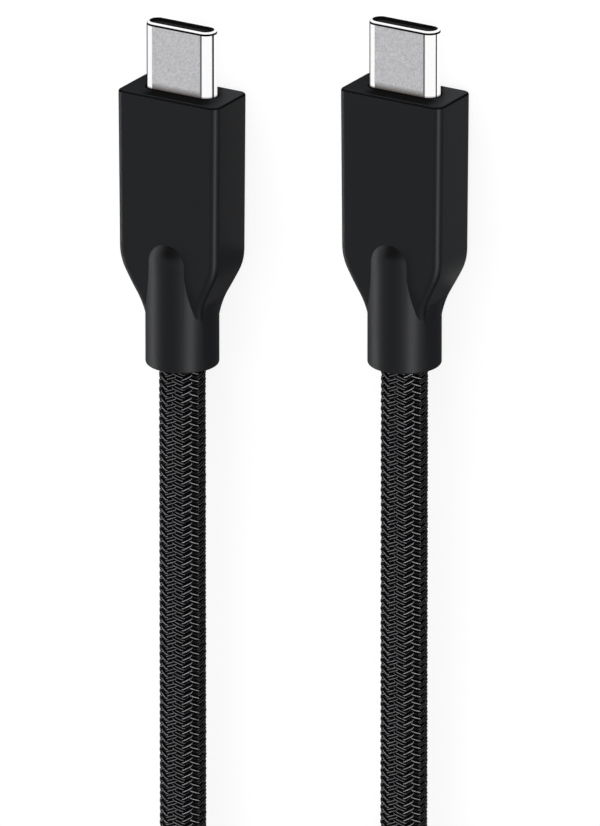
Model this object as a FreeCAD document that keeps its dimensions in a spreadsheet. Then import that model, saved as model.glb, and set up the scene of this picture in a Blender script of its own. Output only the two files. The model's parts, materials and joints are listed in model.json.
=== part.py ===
import FreeCAD, Part
import math
import os
import Sketcher

# A braided charging cable with a reversible plug on each end, lying on a table.
# X runs across the plugs, +Y is the way the plugs point, +Z is up, and Z = 0 is the table.
# The origin is midway between the two plugs, on the table. All sizes are in millimetres.

V = FreeCAD.Vector
TINY = 1e-6
# A cut right through a piece is this many times as long as the piece.
CUT_THROUGH = 1.5
# The arc at a corner of a cord's route takes up this share of the shorter run beside it.
CORNER_SHARE = 0.45
doc = FreeCAD.newDocument("charging_cable")
sheet = doc.addObject("Spreadsheet::Sheet", "Sizes")
sheet_rows = []
nodes = []


class Length:
    """A size that carries its number and its formula on the sheet."""

    def __init__(self, number, formula):
        self.number = number
        self.formula = formula

    def join(self, sign, number, other):
        return Length(number, f"({self.formula} {sign} {other.formula})")

    def __add__(self, other):
        other = as_length(other)
        return self.join("+", self.number + other.number, other)

    def __sub__(self, other):
        other = as_length(other)
        return self.join("-", self.number - other.number, other)

    def __mul__(self, other):
        other = as_length(other)
        return self.join("*", self.number * other.number, other)

    def __truediv__(self, other):
        other = as_length(other)
        return self.join("/", self.number / other.number, other)

    def __neg__(self):
        return self * -1


def as_length(value):
    """A plain number or a size, as a size."""
    return value if isinstance(value, Length) else Length(value, f"({value:.6g})")


def size(alias, number):
    """Write one driving dimension on the sheet and hand it back as a size."""
    sheet_rows.append(alias)
    row = len(sheet_rows)
    sheet.set(f"A{row}", alias)
    sheet.set(f"B{row}", f"{number:.6g}")
    sheet.setAlias(f"B{row}", alias)
    return Length(number, f"Sizes.{alias}")


# How the two ends lie beside each other
plug_spacing = size("plug_spacing", 27.2)
plug_stagger = size("plug_stagger", 5.0)

# Clearance of pieces that slide or are moulded into one another
fit = size("fit", 0.03)

# Metal shell of the plug
shell_width = size("shell_width", 8.25)
shell_thickness = size("shell_thickness", 2.4)
shell_wall = size("shell_wall", 0.3)
shell_exposed = size("shell_exposed", 7.3)
shell_held = size("shell_held", 2.5)
shell_rim_radius = size("shell_rim_radius", 0.1)

# Insulating carrier inside the shell
carrier_recess = size("carrier_recess", 0.45)
carrier_length = size("carrier_length", 9.25)
carrier_side_wall = size("carrier_side_wall", 0.395)
tongue_slot_height = size("tongue_slot_height", 0.95)
tongue_slot_depth = size("tongue_slot_depth", 5.75)

# Spring contacts, one row above the tongue slot and one below
CONTACT_COUNT = 12
contact_pitch = size("contact_pitch", 0.5)
contact_width = size("contact_width", 0.25)
contact_thickness = size("contact_thickness", 0.15)
contact_setback = size("contact_setback", 1.25)
contact_cover = size("contact_cover", 0.12)
contact_bend = size("contact_bend", 0.14)
contact_bend_run = size("contact_bend_run", 0.6)
contact_flat = size("contact_flat", 0.36)
contact_tail = size("contact_tail", 1.3)
contact_play = size("contact_play", 0.05)

# Middle plate with the two side latches that hold the plug in a socket
latch_thickness = size("latch_thickness", 0.2)
latch_plate_width = size("latch_plate_width", 5.6)
latch_arm_width = size("latch_arm_width", 0.18)
latch_arm_setback = size("latch_arm_setback", 0.8)
latch_hook = size("latch_hook", 0.3)
latch_bar = size("latch_bar", 0.6)

# Ground springs on the outside of the carrier
SPRING_FINGERS = 4
spring_thickness = size("spring_thickness", 0.1)
spring_width = size("spring_width", 4.9)
spring_bar = size("spring_bar", 1.0)
spring_finger_width = size("spring_finger_width", 0.7)
spring_finger_length = size("spring_finger_length", 1.8)
spring_setback = size("spring_setback", 0.7)

# Circuit card and what is soldered to it
CAPACITORS = 4
card_gap = size("card_gap", 0.2)
card_width = size("card_width", 7.6)
card_length = size("card_length", 9.2)
card_thickness = size("card_thickness", 0.8)
chip_width = size("chip_width", 2.6)
chip_length = size("chip_length", 2.2)
chip_height = size("chip_height", 0.6)
chip_setback = size("chip_setback", 3.0)
capacitor_pitch = size("capacitor_pitch", 1.3)
capacitor_width = size("capacitor_width", 0.5)
capacitor_length = size("capacitor_length", 1.0)
capacitor_height = size("capacitor_height", 0.5)

# Stamped shield can in two halves
can_setback = size("can_setback", 1.7)
can_length = size("can_length", 12.6)
can_width = size("can_width", 9.2)
can_height = size("can_height", 4.4)
can_wall = size("can_wall", 0.2)

# Cord and its end inside the plug
DATA_WIRES = 4
cord_diameter = size("cord_diameter", 4.8)
jacket_diameter = size("jacket_diameter", 3.6)
braid_held = size("braid_held", 5.5)
jacket_gap = size("jacket_gap", 0.6)
power_wire_diameter = size("power_wire_diameter", 0.9)
power_wire_pitch = size("power_wire_pitch", 2.0)
data_wire_diameter = size("data_wire_diameter", 0.6)
data_wire_pitch = size("data_wire_pitch", 0.65)
wire_lap = size("wire_lap", 1.6)
ferrule_wall = size("ferrule_wall", 0.35)
ferrule_length = size("ferrule_length", 4.0)
inner_mould_width = size("inner_mould_width", 7.0)
inner_mould_height = size("inner_mould_height", 5.0)
inner_mould_length = size("inner_mould_length", 6.0)

# Outer moulding: flat housing, drawn-in shoulders and round collar
mould_length = size("mould_length", 30.2)
housing_width = size("housing_width", 12.36)
housing_rear_width = size("housing_rear_width", 12.06)
housing_thickness = size("housing_thickness", 6.5)
housing_straight = size("housing_straight", 17.3)
shoulder_radius = size("shoulder_radius", 5.6)
shoulder_run = size("shoulder_run", 2.34)
shoulder_drop = size("shoulder_drop", 1.2)
shoulder_end = size("shoulder_end", 0.4)
face_straight = size("face_straight", 18.9)
face_radius = size("face_radius", 16.7)
face_reach = size("face_reach", 7.0)
long_edge_radius = size("long_edge_radius", 0.8)
front_edge_radius = size("front_edge_radius", 0.28)
collar_diameter = size("collar_diameter", 7.8)
collar_dome_setback = size("collar_dome_setback", 18.4)
collar_edge_radius = size("collar_edge_radius", 0.2)

# Coil of the length that is put away, and its tie
coil_turns = size("coil_turns", 4.7)
coil_radius = size("coil_radius", 28.2)
coil_gap = size("coil_gap", 0.45)
coil_centre_y = size("coil_centre_y", -112.6)
coil_entry_drop = size("coil_entry_drop", 0.35)
coil_exit_drop = size("coil_exit_drop", 1.2)
coil_lead_in = size("coil_lead_in", 7.2)
tie_thickness = size("tie_thickness", 0.6)
tie_width = size("tie_width", 8.0)
tie_clearance = size("tie_clearance", 0.15)
tie_side_clearance = size("tie_side_clearance", 0.8)
tie_corner_radius = size("tie_corner_radius", 1.6)

doc.recompute()

# Depths behind the mouth of the plug, where the pieces meet
collar_radius = collar_diameter / 2
plug_length = shell_exposed + mould_length
carrier_end = carrier_recess + carrier_length
card_start = carrier_end + card_gap
card_end = card_start + card_length
can_start = shell_exposed + can_setback
can_end = can_start + can_length
inner_mould_end = can_end + inner_mould_length
jacket_start = card_end + jacket_gap
braid_start = plug_length - braid_held
carrier_width = shell_width - shell_wall * 2 - fit * 2
carrier_thickness = shell_thickness - shell_wall * 2 - fit * 2
tongue_slot_width = carrier_width - carrier_side_wall * 2
contact_height = carrier_thickness / 2 - spring_thickness - contact_cover - contact_thickness
contact_end = card_start + contact_tail
coil_pitch = cord_diameter + coil_gap

# Where the mouth of each plug lies
PLUGS = {
    "left": (-plug_spacing / 2, (plug_length - plug_stagger) / 2, collar_radius),
    "right": (plug_spacing / 2, (plug_length + plug_stagger) / 2, collar_radius),
}


def bind(thing, name, value):
    """Tie a property of an object to the sheet."""
    thing.setExpression(name, as_length(value).formula)


def put(thing, place):
    """Tie an object's place to the sheet."""
    for axis, value in zip("xyz", place):
        bind(thing, f"Placement.Base.{axis}", value)


def keep(thing, name, place=None):
    """Make an object one of the part's nodes, laid at its place."""
    thing.Label = name
    if place:
        put(thing, place)
    nodes.append(thing)


def box(name, sides, middle):
    """A block with its sides across, along and up, about its middle across and up.

    The middle is given as across, the depth of its front end, and up.
    """
    block = doc.addObject("Part::Box", name)
    for side, value in zip(("Length", "Width", "Height"), sides):
        bind(block, side, value)
    across, along, up = (as_length(side) for side in sides)
    x, depth, z = (as_length(value) for value in middle)
    put(block, (x - across / 2, -(depth + along), z - up / 2))
    return block


def rod(name, diameter, start, end, x=0, z=0):
    """A round rod along the plug, from one depth behind the mouth to another."""
    cylinder = doc.addObject("Part::Cylinder", name)
    bind(cylinder, "Radius", diameter / 2)
    bind(cylinder, "Height", end - start)
    cylinder.Placement.Rotation = FreeCAD.Rotation(V(1, 0, 0), 90)
    put(cylinder, (x, -start, z))
    return cylinder


def fuse(name, pieces):
    """Several solids joined into one."""
    result = doc.addObject("Part::MultiFuse", name)
    result.Shapes = pieces
    return result


def cut(name, base, tools):
    """The base without the tools."""
    result = doc.addObject("Part::Cut", name)
    result.Base = base
    result.Tool = tools[0] if len(tools) == 1 else fuse(f"{name}_tools", tools)
    return result


def group(name, pieces):
    """Several separate solids kept as one node."""
    result = doc.addObject("Part::Compound", name)
    result.Links = pieces
    return result


def new_body(name):
    return doc.addObject("PartDesign::Body", name)


def origin_feature(body, role):
    return [feature for feature in body.Origin.OriginFeatures if feature.Role == role][0]


def new_sketch(body, name, role, shift=None):
    """A sketch on one of the body's own origin planes, moved along the plane's normal."""
    sketch = body.newObject("Sketcher::SketchObject", name)
    sketch.AttachmentSupport = [(origin_feature(body, role), "")]
    sketch.MapMode = "FlatFace"
    if shift is not None:
        bind(sketch, "AttachmentOffset.Base.z", shift)
    return sketch


def constrain(sketch, *facts, value=None):
    """Add a constraint, and tie it to the sheet if it has a value."""
    if value is None:
        sketch.addConstraint(Sketcher.Constraint(*facts))
        return
    index = sketch.addConstraint(Sketcher.Constraint(*facts, value.number))
    bind(sketch, f"Constraints[{index}]", value)


def pin(sketch, edge, end, point):
    """Tie one end of a sketch edge to a point given by two sizes."""
    for kind, value in zip(("DistanceX", "DistanceY"), point):
        constrain(sketch, kind, -1, 1, edge, end, value=as_length(value))


def draw_polygon(sketch, points):
    """A closed outline of straight lines, each corner tied to its sizes."""
    corners = [V(as_length(x).number, as_length(y).number, 0) for x, y in points]
    for here, there in zip(corners, corners[1:] + corners[:1]):
        sketch.addGeometry(Part.LineSegment(here, there), False)
    for edge, point in enumerate(points):
        constrain(sketch, "Coincident", edge, 2, (edge + 1) % len(points), 1)
        pin(sketch, edge, 1, point)


def draw_rectangle(sketch, width, height):
    """A rectangle about the origin."""
    x = as_length(width) / 2
    y = as_length(height) / 2
    draw_polygon(sketch, [(-x, -y), (x, -y), (x, y), (-x, y)])


def draw_stadium(sketch, width, height):
    """A slot shape with round ends, about the origin."""
    radius = height / 2
    reach = width / 2 - radius
    r = radius.number
    a = reach.number
    right = Part.Circle(V(a, 0, 0), V(0, 0, 1), r)
    left = Part.Circle(V(-a, 0, 0), V(0, 0, 1), r)
    quarter = math.pi / 2
    sketch.addGeometry(Part.LineSegment(V(-a, r, 0), V(a, r, 0)), False)
    sketch.addGeometry(Part.ArcOfCircle(right, -quarter, quarter), False)
    sketch.addGeometry(Part.LineSegment(V(a, -r, 0), V(-a, -r, 0)), False)
    sketch.addGeometry(Part.ArcOfCircle(left, quarter, 3 * quarter), False)
    for line, end, arc, arc_end in ((0, 2, 1, 2), (2, 1, 1, 1), (2, 2, 3, 2), (0, 1, 3, 1)):
        constrain(sketch, "Tangent", line, end, arc, arc_end)
    pin(sketch, 1, 3, (reach, 0))
    pin(sketch, 3, 3, (-reach, 0))
    constrain(sketch, "Radius", 1, value=radius)


def draw_circle(sketch, diameter):
    """A circle about the origin."""
    circle = Part.Circle(V(0, 0, 0), V(0, 0, 1), diameter.number / 2)
    sketch.addGeometry(circle, False)
    constrain(sketch, "Coincident", 0, 3, -1, 1)
    constrain(sketch, "Diameter", 0, value=diameter)


def pad(body, name, sketch, length, middle=False):
    """Build material on a sketch."""
    feature = body.newObject("PartDesign::Pad", name)
    feature.Profile = sketch
    feature.Midplane = middle
    bind(feature, "Length", length)
    return feature


def pocket(body, name, sketch, length, middle=False):
    """Cut material away, on the side that a sketch's normal points to."""
    feature = body.newObject("PartDesign::Pocket", name)
    feature.Profile = sketch
    feature.Midplane = middle
    feature.Reversed = not middle
    bind(feature, "Length", length)
    return feature


def bore(body, name, draw, sizes, start, end):
    """Cut a hole along the plug, from one depth behind the mouth to another."""
    sketch = new_sketch(body, f"{name}_outline", "XZ_Plane", start)
    draw(sketch, *sizes)
    return pocket(body, name, sketch, end - start)


def fillet(body, name, radius, wanted):
    """Round every edge of the body so far for which wanted(edge) is true."""
    doc.recompute()
    base = body.Tip
    edges = [f"Edge{n}" for n, edge in enumerate(base.Shape.Edges, 1) if wanted(edge)]
    feature = body.newObject("PartDesign::Fillet", name)
    feature.Base = (base, edges)
    bind(feature, "Radius", radius)
    return feature


# The pieces of one plug


def make_shell(side, place):
    """Drawn steel tube that goes into the socket."""
    body = new_body(f"{side}_plug_shell")
    outline = new_sketch(body, f"{side}_shell_outline", "XZ_Plane")
    draw_stadium(outline, shell_width, shell_thickness)
    length = shell_exposed + shell_held
    pad(body, f"{side}_shell_pad", outline, length)
    inner = (shell_width - shell_wall * 2, shell_thickness - shell_wall * 2)
    bore(body, f"{side}_shell_bore", draw_stadium, inner, as_length(0), length)

    def is_outer_rim(edge):
        """An edge of the outside wall, at the mouth."""
        bounds = edge.BoundBox
        reach = max(bounds.ZMax, -bounds.ZMin)
        return bounds.YMin > -TINY and reach > inner[1].number / 2 + TINY

    fillet(body, f"{side}_shell_rim", shell_rim_radius, is_outer_rim)
    keep(body, f"{side}_plug_shell", place)


def make_carrier(side, place):
    """Plastic carrier that fills the shell and holds contacts, latches and springs."""
    body = new_body(f"{side}_carrier_body")
    outline = new_sketch(body, f"{side}_carrier_outline", "XZ_Plane", carrier_recess)
    draw_stadium(outline, carrier_width, carrier_thickness)
    pad(body, f"{side}_carrier_pad", outline, carrier_length)
    bore(
        body,
        f"{side}_tongue_slot",
        draw_rectangle,
        (tongue_slot_width, tongue_slot_height),
        carrier_recess,
        carrier_recess + tongue_slot_depth,
    )
    groove_height = contact_height + contact_thickness + contact_play
    tools = []
    for number in range(CONTACT_COUNT):
        x = contact_pitch * (number - (CONTACT_COUNT - 1) / 2)
        start = carrier_recess + contact_setback - contact_play
        sides = (contact_width + contact_play * 2, carrier_end - start, groove_height * 2)
        tools.append(box(f"{side}_contact_groove_{number + 1}", sides, (x, start, 0)))
    arm_start = carrier_recess + latch_arm_setback - contact_play
    arm_span = tongue_slot_width + (fit + latch_arm_width + contact_play) * 2
    arm_length = tongue_slot_depth - latch_arm_setback + latch_bar + contact_play * 4
    arm_height = latch_thickness + contact_play * 2
    tools.append(box(f"{side}_latch_room", (arm_span, arm_length, arm_height), (0, arm_start, 0)))
    plate_start = arm_start + arm_length / 2
    plate_sides = (latch_plate_width + contact_play * 2, carrier_end - plate_start, arm_height)
    tools.append(box(f"{side}_plate_room", plate_sides, (0, plate_start, 0)))
    spring_sides = (
        spring_width + contact_play * 2,
        spring_bar + spring_finger_length + contact_play * 2,
        spring_thickness * 2,
    )
    for level in (-1, 1):
        middle = (0, carrier_recess + spring_setback - contact_play, carrier_thickness / 2 * level)
        tools.append(box(f"{side}_spring_room_{level + 2}", spring_sides, middle))
    keep(cut(f"{side}_contact_carrier", body, tools), f"{side}_contact_carrier", place)


def make_contacts(side, place, row, level):
    """One row of spring contacts with their solder tails on the card."""
    name = f"{side}_contacts_{row}"
    body = new_body(name)
    shift = -contact_pitch * ((CONTACT_COUNT - 1) / 2)
    profile = new_sketch(body, f"{name}_profile", "YZ_Plane", shift)
    tip = carrier_recess + contact_setback
    bend_start = tip + contact_bend_run
    bend_end = bend_start + contact_flat
    low = contact_height
    dip = contact_height - contact_bend
    tail = card_thickness / 2
    under = [
        (tip, low),
        (bend_start, dip),
        (bend_end, dip),
        (bend_end + contact_bend_run, low),
        (carrier_end - contact_play, low),
        (card_start, tail),
        (contact_end, tail),
    ]
    over = [(depth, height + contact_thickness) for depth, height in reversed(under)]
    draw_polygon(profile, [(-depth, height * level) for depth, height in under + over])
    contact = pad(body, f"{name}_pad", profile, contact_width, middle=True)
    doc.recompute()
    row_of_contacts = body.newObject("PartDesign::LinearPattern", f"{name}_pattern")
    row_of_contacts.Originals = [contact]
    row_of_contacts.Direction = (origin_feature(body, "X_Axis"), [""])
    row_of_contacts.Occurrences = CONTACT_COUNT
    bind(row_of_contacts, "Length", contact_pitch * (CONTACT_COUNT - 1))
    body.Tip = row_of_contacts
    keep(body, name, place)


def make_latch(side, place):
    """Middle plate with two side arms and their hooks."""
    name = f"{side}_latch_plate"
    arm_start = carrier_recess + latch_arm_setback
    bar_start = carrier_recess + tongue_slot_depth + contact_play
    bar_end = bar_start + latch_bar
    arm_x = tongue_slot_width / 2 + fit + latch_arm_width / 2
    pieces = [
        box(
            f"{side}_latch_middle",
            (latch_plate_width, card_start - bar_start, latch_thickness),
            (0, bar_start, 0),
        ),
        box(
            f"{side}_latch_bar",
            (arm_x * 2 + latch_arm_width, latch_bar, latch_thickness),
            (0, bar_start, 0),
        ),
    ]
    for hand in (-1, 1):
        arm = (latch_arm_width, bar_end - arm_start, latch_thickness)
        hook = (latch_hook + latch_arm_width, latch_bar, latch_thickness)
        pieces.append(box(f"{side}_latch_arm_{hand + 2}", arm, (arm_x * hand, arm_start, 0)))
        hook_x = (arm_x - latch_hook / 2) * hand
        pieces.append(box(f"{side}_latch_hook_{hand + 2}", hook, (hook_x, arm_start, 0)))
    keep(fuse(name, pieces), name, place)


def make_ground_spring(side, place, row, level):
    """Comb of ground fingers between the carrier and the shell."""
    name = f"{side}_ground_spring_{row}"
    z = (carrier_thickness - spring_thickness) / 2 * level
    start = carrier_recess + spring_setback
    bar_start = start + spring_finger_length
    pieces = [box(f"{name}_bar", (spring_width, spring_bar, spring_thickness), (0, bar_start, z))]
    pitch = (spring_width - spring_finger_width) / (SPRING_FINGERS - 1)
    for number in range(SPRING_FINGERS):
        x = pitch * (number - (SPRING_FINGERS - 1) / 2)
        sides = (spring_finger_width, spring_finger_length + spring_bar, spring_thickness)
        pieces.append(box(f"{name}_finger_{number + 1}", sides, (x, start, z)))
    keep(fuse(name, pieces), name, place)


def make_card(side, place):
    """Circuit card with its chip and capacitors."""
    card = box(f"{side}_board", (card_width, card_length, card_thickness), (0, card_start, 0))
    keep(group(f"{side}_circuit_card", [card]), f"{side}_circuit_card", place)
    chip_at = (0, card_start + chip_setback, (card_thickness + chip_height) / 2)
    chip = box(f"{side}_package", (chip_width, chip_length, chip_height), chip_at)
    keep(group(f"{side}_control_chip", [chip]), f"{side}_control_chip", place)
    pieces = []
    for number in range(CAPACITORS):
        x = capacitor_pitch * (number - (CAPACITORS - 1) / 2)
        z = -(card_thickness + capacitor_height) / 2
        sides = (capacitor_width, capacitor_length, capacitor_height)
        pieces.append(box(f"{side}_capacitor_{number + 1}", sides, (x, card_start + chip_setback, z)))
    keep(group(f"{side}_capacitors", pieces), f"{side}_capacitors", place)


def make_can(side, place, half, level):
    """One half of the stamped can that screens the card."""
    name = f"{side}_shield_can_{half}"
    height = can_height / 2
    blank = box(f"{name}_blank", (can_width, can_length, height), (0, can_start, height / 2 * level))
    inside = (can_width - can_wall * 2, can_length - can_wall * 2, (height - can_wall) * 2)
    mouth = (shell_width + fit * 2, can_wall * 2, shell_thickness + fit * 2)
    tools = [
        box(f"{name}_inside", inside, (0, can_start + can_wall, 0)),
        box(f"{name}_mouth", mouth, (0, can_start - can_wall / 2, 0)),
        rod(f"{name}_neck", jacket_diameter + fit * 2, can_end - can_wall * 2, can_end + can_wall),
    ]
    keep(cut(name, blank, tools), name, place)


def make_cord_end(side, place):
    """Wires, stripped jacket and the braided end that the collar holds."""
    power_z = (card_thickness + power_wire_diameter) / 2
    power = [
        rod(
            f"{side}_power_wire_{hand + 2}",
            power_wire_diameter,
            card_end - wire_lap,
            jacket_start,
            power_wire_pitch / 2 * hand,
            power_z,
        )
        for hand in (-1, 1)
    ]
    keep(group(f"{side}_power_wires", power), f"{side}_power_wires", place)
    data_z = -(card_thickness + data_wire_diameter) / 2
    data = [
        rod(
            f"{side}_data_wire_{number + 1}",
            data_wire_diameter,
            card_end - wire_lap,
            jacket_start,
            data_wire_pitch * (number - (DATA_WIRES - 1) / 2),
            data_z,
        )
        for number in range(DATA_WIRES)
    ]
    keep(group(f"{side}_data_wires", data), f"{side}_data_wires", place)
    jacket = rod(f"{side}_jacket", jacket_diameter, jacket_start, braid_start)
    braid = rod(f"{side}_braid_end", cord_diameter, braid_start, plug_length)
    keep(fuse(f"{side}_cord_end", [jacket, braid]), f"{side}_cord_end", place)


def make_ferrule(side, place):
    """Metal ring crimped on the jacket."""
    outside = jacket_diameter + (fit + ferrule_wall) * 2
    end = can_end + ferrule_length
    ring = rod(f"{side}_ferrule_blank", outside, can_end, end)
    hole = rod(f"{side}_ferrule_hole", jacket_diameter + fit * 2, can_end - fit, end + fit)
    keep(cut(f"{side}_crimp_ferrule", ring, [hole]), f"{side}_crimp_ferrule", place)


def make_inner_mould(side, place):
    """Hard plastic block moulded behind the can, round the ferrule and the jacket."""
    sides = (inner_mould_width, inner_mould_length, inner_mould_height)
    blank = box(f"{side}_inner_mould_blank", sides, (0, can_end, 0))
    ferrule_room = jacket_diameter + (fit * 2 + ferrule_wall) * 2
    tools = [
        rod(f"{side}_ferrule_room", ferrule_room, can_end - fit, can_end + ferrule_length),
        rod(f"{side}_jacket_room", jacket_diameter + fit * 2, can_end, inner_mould_end + fit),
    ]
    keep(cut(f"{side}_inner_mould", blank, tools), f"{side}_inner_mould", place)


def draw_flank(sketch, first, hand):
    """One side of the housing seen from above: a slight taper, then the drawn-in shoulder.

    It is five edges in a row: line, outward arc, line, inward arc, line.
    """
    taper = math.atan(((housing_width - housing_rear_width) / 2 / housing_straight).number)
    turn = math.atan((shoulder_drop / shoulder_run).number)
    radius = shoulder_radius.number
    front = V(housing_width.number / 2, -shell_exposed.number, 0)
    rear = V(housing_rear_width.number / 2, -(shell_exposed + housing_straight).number, 0)
    outer = rear - V(radius * math.cos(taper), -radius * math.sin(taper), 0)
    bend_end = outer + V(radius * math.cos(turn), -radius * math.sin(turn), 0)
    slope_end = bend_end - V(shoulder_drop.number, shoulder_run.number, 0)
    inner = slope_end + V(radius * math.cos(turn), -radius * math.sin(turn), 0)
    neck = inner - V(radius, 0, 0)
    tail = neck - V(0, shoulder_end.number, 0)

    def handed(point):
        return V(point.x * hand, point.y, 0)

    def arc(centre, start_angle, end_angle):
        middle = (start_angle + end_angle) / 2
        points = [
            centre + V(radius * math.cos(angle), radius * math.sin(angle), 0)
            for angle in (start_angle, middle, end_angle)
        ]
        return Part.Arc(*(handed(point) for point in points))

    sketch.addGeometry(Part.LineSegment(handed(front), handed(rear)), False)
    sketch.addGeometry(arc(outer, -taper, -turn), False)
    sketch.addGeometry(Part.LineSegment(handed(bend_end), handed(slope_end)), False)
    sketch.addGeometry(arc(inner, math.pi - turn, math.pi), False)
    sketch.addGeometry(Part.LineSegment(handed(neck), handed(tail)), False)

    # An arc is kept counter-clockwise, so its first end depends on the hand.
    arc_start = {1: 2, -1: 1}[hand]
    arc_end = 3 - arc_start
    second_start = {1: 1, -1: 2}[hand]
    second_end = 3 - second_start
    pin(sketch, first, 1, (housing_width / 2 * hand, -shell_exposed))
    pin(sketch, first, 2, (housing_rear_width / 2 * hand, -(shell_exposed + housing_straight)))
    constrain(sketch, "Tangent", first, 2, first + 1, arc_start)
    constrain(sketch, "Radius", first + 1, value=shoulder_radius)
    constrain(sketch, "Tangent", first + 1, arc_end, first + 2, 1)
    constrain(sketch, "DistanceY", first + 2, 2, first + 2, 1, value=shoulder_run)
    slope_from, slope_to = {1: (2, 1), -1: (1, 2)}[hand]
    constrain(sketch, "DistanceX", first + 2, slope_from, first + 2, slope_to, value=shoulder_drop)
    constrain(sketch, "Tangent", first + 2, 2, first + 3, second_start)
    constrain(sketch, "Radius", first + 3, value=shoulder_radius)
    constrain(sketch, "Tangent", first + 3, second_end, first + 4, 1)
    constrain(sketch, "Vertical", first + 4)
    constrain(sketch, "DistanceY", first + 4, 2, first + 4, 1, value=shoulder_end)
    return handed(front), handed(tail)


def draw_face_cut(sketch, level):
    """The wedge that thins the housing towards the collar, seen from the side."""
    half = housing_thickness / 2
    start = shell_exposed + face_straight
    end = start + face_reach
    centre = V(-start.number, (half.number - face_radius.number) * level, 0)
    swing = math.asin((face_reach / face_radius).number)
    points = []
    for share in (0, 0.5, 1):
        angle = math.pi / 2 + swing * share
        points.append(centre + V(math.cos(angle), math.sin(angle) * level, 0) * face_radius.number)
    corner_above = V(-end.number, half.number * 2 * level, 0)
    corner_front = V(-start.number, half.number * 2 * level, 0)
    sketch.addGeometry(Part.Arc(*points), False)
    sketch.addGeometry(Part.LineSegment(points[2], corner_above), False)
    sketch.addGeometry(Part.LineSegment(corner_above, corner_front), False)
    sketch.addGeometry(Part.LineSegment(corner_front, points[0]), False)
    arc_start, arc_end = {1: (1, 2), -1: (2, 1)}[level]
    constrain(sketch, "Coincident", 0, arc_end, 1, 1)
    constrain(sketch, "Coincident", 1, 2, 2, 1)
    constrain(sketch, "Coincident", 2, 2, 3, 1)
    constrain(sketch, "Coincident", 3, 2, 0, arc_start)
    constrain(sketch, "Radius", 0, value=face_radius)
    pin(sketch, 0, 3, (-start, (half - face_radius) * level))
    pin(sketch, 2, 1, (-end, half * 2 * level))
    pin(sketch, 2, 2, (-start, half * 2 * level))
    constrain(sketch, "Vertical", 1)
    constrain(sketch, "Vertical", 3)


def draw_collar(sketch):
    """Half of the collar's section: a dome in front, a straight side, a flat end."""
    centre = shell_exposed + collar_dome_setback
    radius = collar_radius.number
    middle = V(0, -centre.number, 0)
    tip = middle + V(0, radius, 0)
    side = middle + V(radius, 0, 0)
    rim = V(radius, -plug_length.number, 0)
    end = V(0, -plug_length.number, 0)
    dome = Part.Circle(middle, V(0, 0, 1), radius)
    sketch.addGeometry(Part.ArcOfCircle(dome, 0, math.pi / 2), False)
    sketch.addGeometry(Part.LineSegment(side, rim), False)
    sketch.addGeometry(Part.LineSegment(rim, end), False)
    sketch.addGeometry(Part.LineSegment(end, tip), False)
    constrain(sketch, "Coincident", 0, 1, 1, 1)
    constrain(sketch, "Coincident", 1, 2, 2, 1)
    constrain(sketch, "Coincident", 2, 2, 3, 1)
    constrain(sketch, "Coincident", 3, 2, 0, 2)
    pin(sketch, 0, 3, (0, -centre))
    pin(sketch, 0, 1, (collar_radius, -centre))
    constrain(sketch, "PointOnObject", 0, 2, -2)
    pin(sketch, 1, 2, (collar_radius, -plug_length))
    pin(sketch, 2, 2, (0, -plug_length))


def make_overmould(side, place):
    """Soft-touch moulding: flat housing, drawn-in shoulders and domed collar in one piece."""
    body = new_body(f"{side}_overmould")
    plan = new_sketch(body, f"{side}_plan", "XY_Plane")
    right_front, right_tail = draw_flank(plan, 0, 1)
    left_front, left_tail = draw_flank(plan, 5, -1)
    plan.addGeometry(Part.LineSegment(left_front, right_front), False)
    plan.addGeometry(Part.LineSegment(left_tail, right_tail), False)
    for edge, end, other, other_end in ((10, 1, 5, 1), (10, 2, 0, 1), (11, 1, 9, 2), (11, 2, 4, 2)):
        constrain(plan, "Coincident", edge, end, other, other_end)
    pad(body, f"{side}_housing_pad", plan, housing_thickness, middle=True)
    for level, word in ((1, "upper"), (-1, "lower")):
        wedge = new_sketch(body, f"{side}_{word}_face_outline", "YZ_Plane")
        draw_face_cut(wedge, level)
        pocket(body, f"{side}_{word}_face_cut", wedge, housing_width * CUT_THROUGH, middle=True)

    def is_long_edge(edge):
        """An edge that runs along the housing, on either wide face."""
        bounds = edge.BoundBox
        off_axis = bounds.XMin * bounds.XMax > 0
        return bounds.YLength > TINY and off_axis and bounds.ZMin * bounds.ZMax > 0

    fillet(body, f"{side}_long_edges", long_edge_radius, is_long_edge)

    def is_front_edge(edge):
        """An edge round the face that the shell comes out of."""
        return edge.BoundBox.YMin > -shell_exposed.number - TINY

    fillet(body, f"{side}_front_edges", front_edge_radius, is_front_edge)
    section = new_sketch(body, f"{side}_collar_section", "XY_Plane")
    draw_collar(section)
    collar = body.newObject("PartDesign::Revolution", f"{side}_collar")
    collar.Profile = section
    collar.ReferenceAxis = (section, ["V_Axis"])
    collar.Angle = 360

    def is_collar_end(edge):
        """An edge round the end that the cord comes out of."""
        return edge.BoundBox.YMax < TINY - plug_length.number

    fillet(body, f"{side}_collar_end", collar_edge_radius, is_collar_end)
    slot = (shell_width + fit * 2, shell_thickness + fit * 2)
    block = (inner_mould_width, inner_mould_height)
    jacket = (jacket_diameter + fit * 2,)
    braid = (cord_diameter + fit * 2,)
    bore(body, f"{side}_shell_slot", draw_stadium, slot, shell_exposed, can_start)
    bore(body, f"{side}_can_room", draw_rectangle, (can_width, can_height), can_start, can_end)
    bore(body, f"{side}_mould_room", draw_rectangle, block, can_end, inner_mould_end)
    bore(body, f"{side}_jacket_room", draw_circle, jacket, inner_mould_end, braid_start)
    bore(body, f"{side}_braid_room", draw_circle, braid, braid_start, plug_length)
    keep(body, f"{side}_overmould", place)


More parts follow.
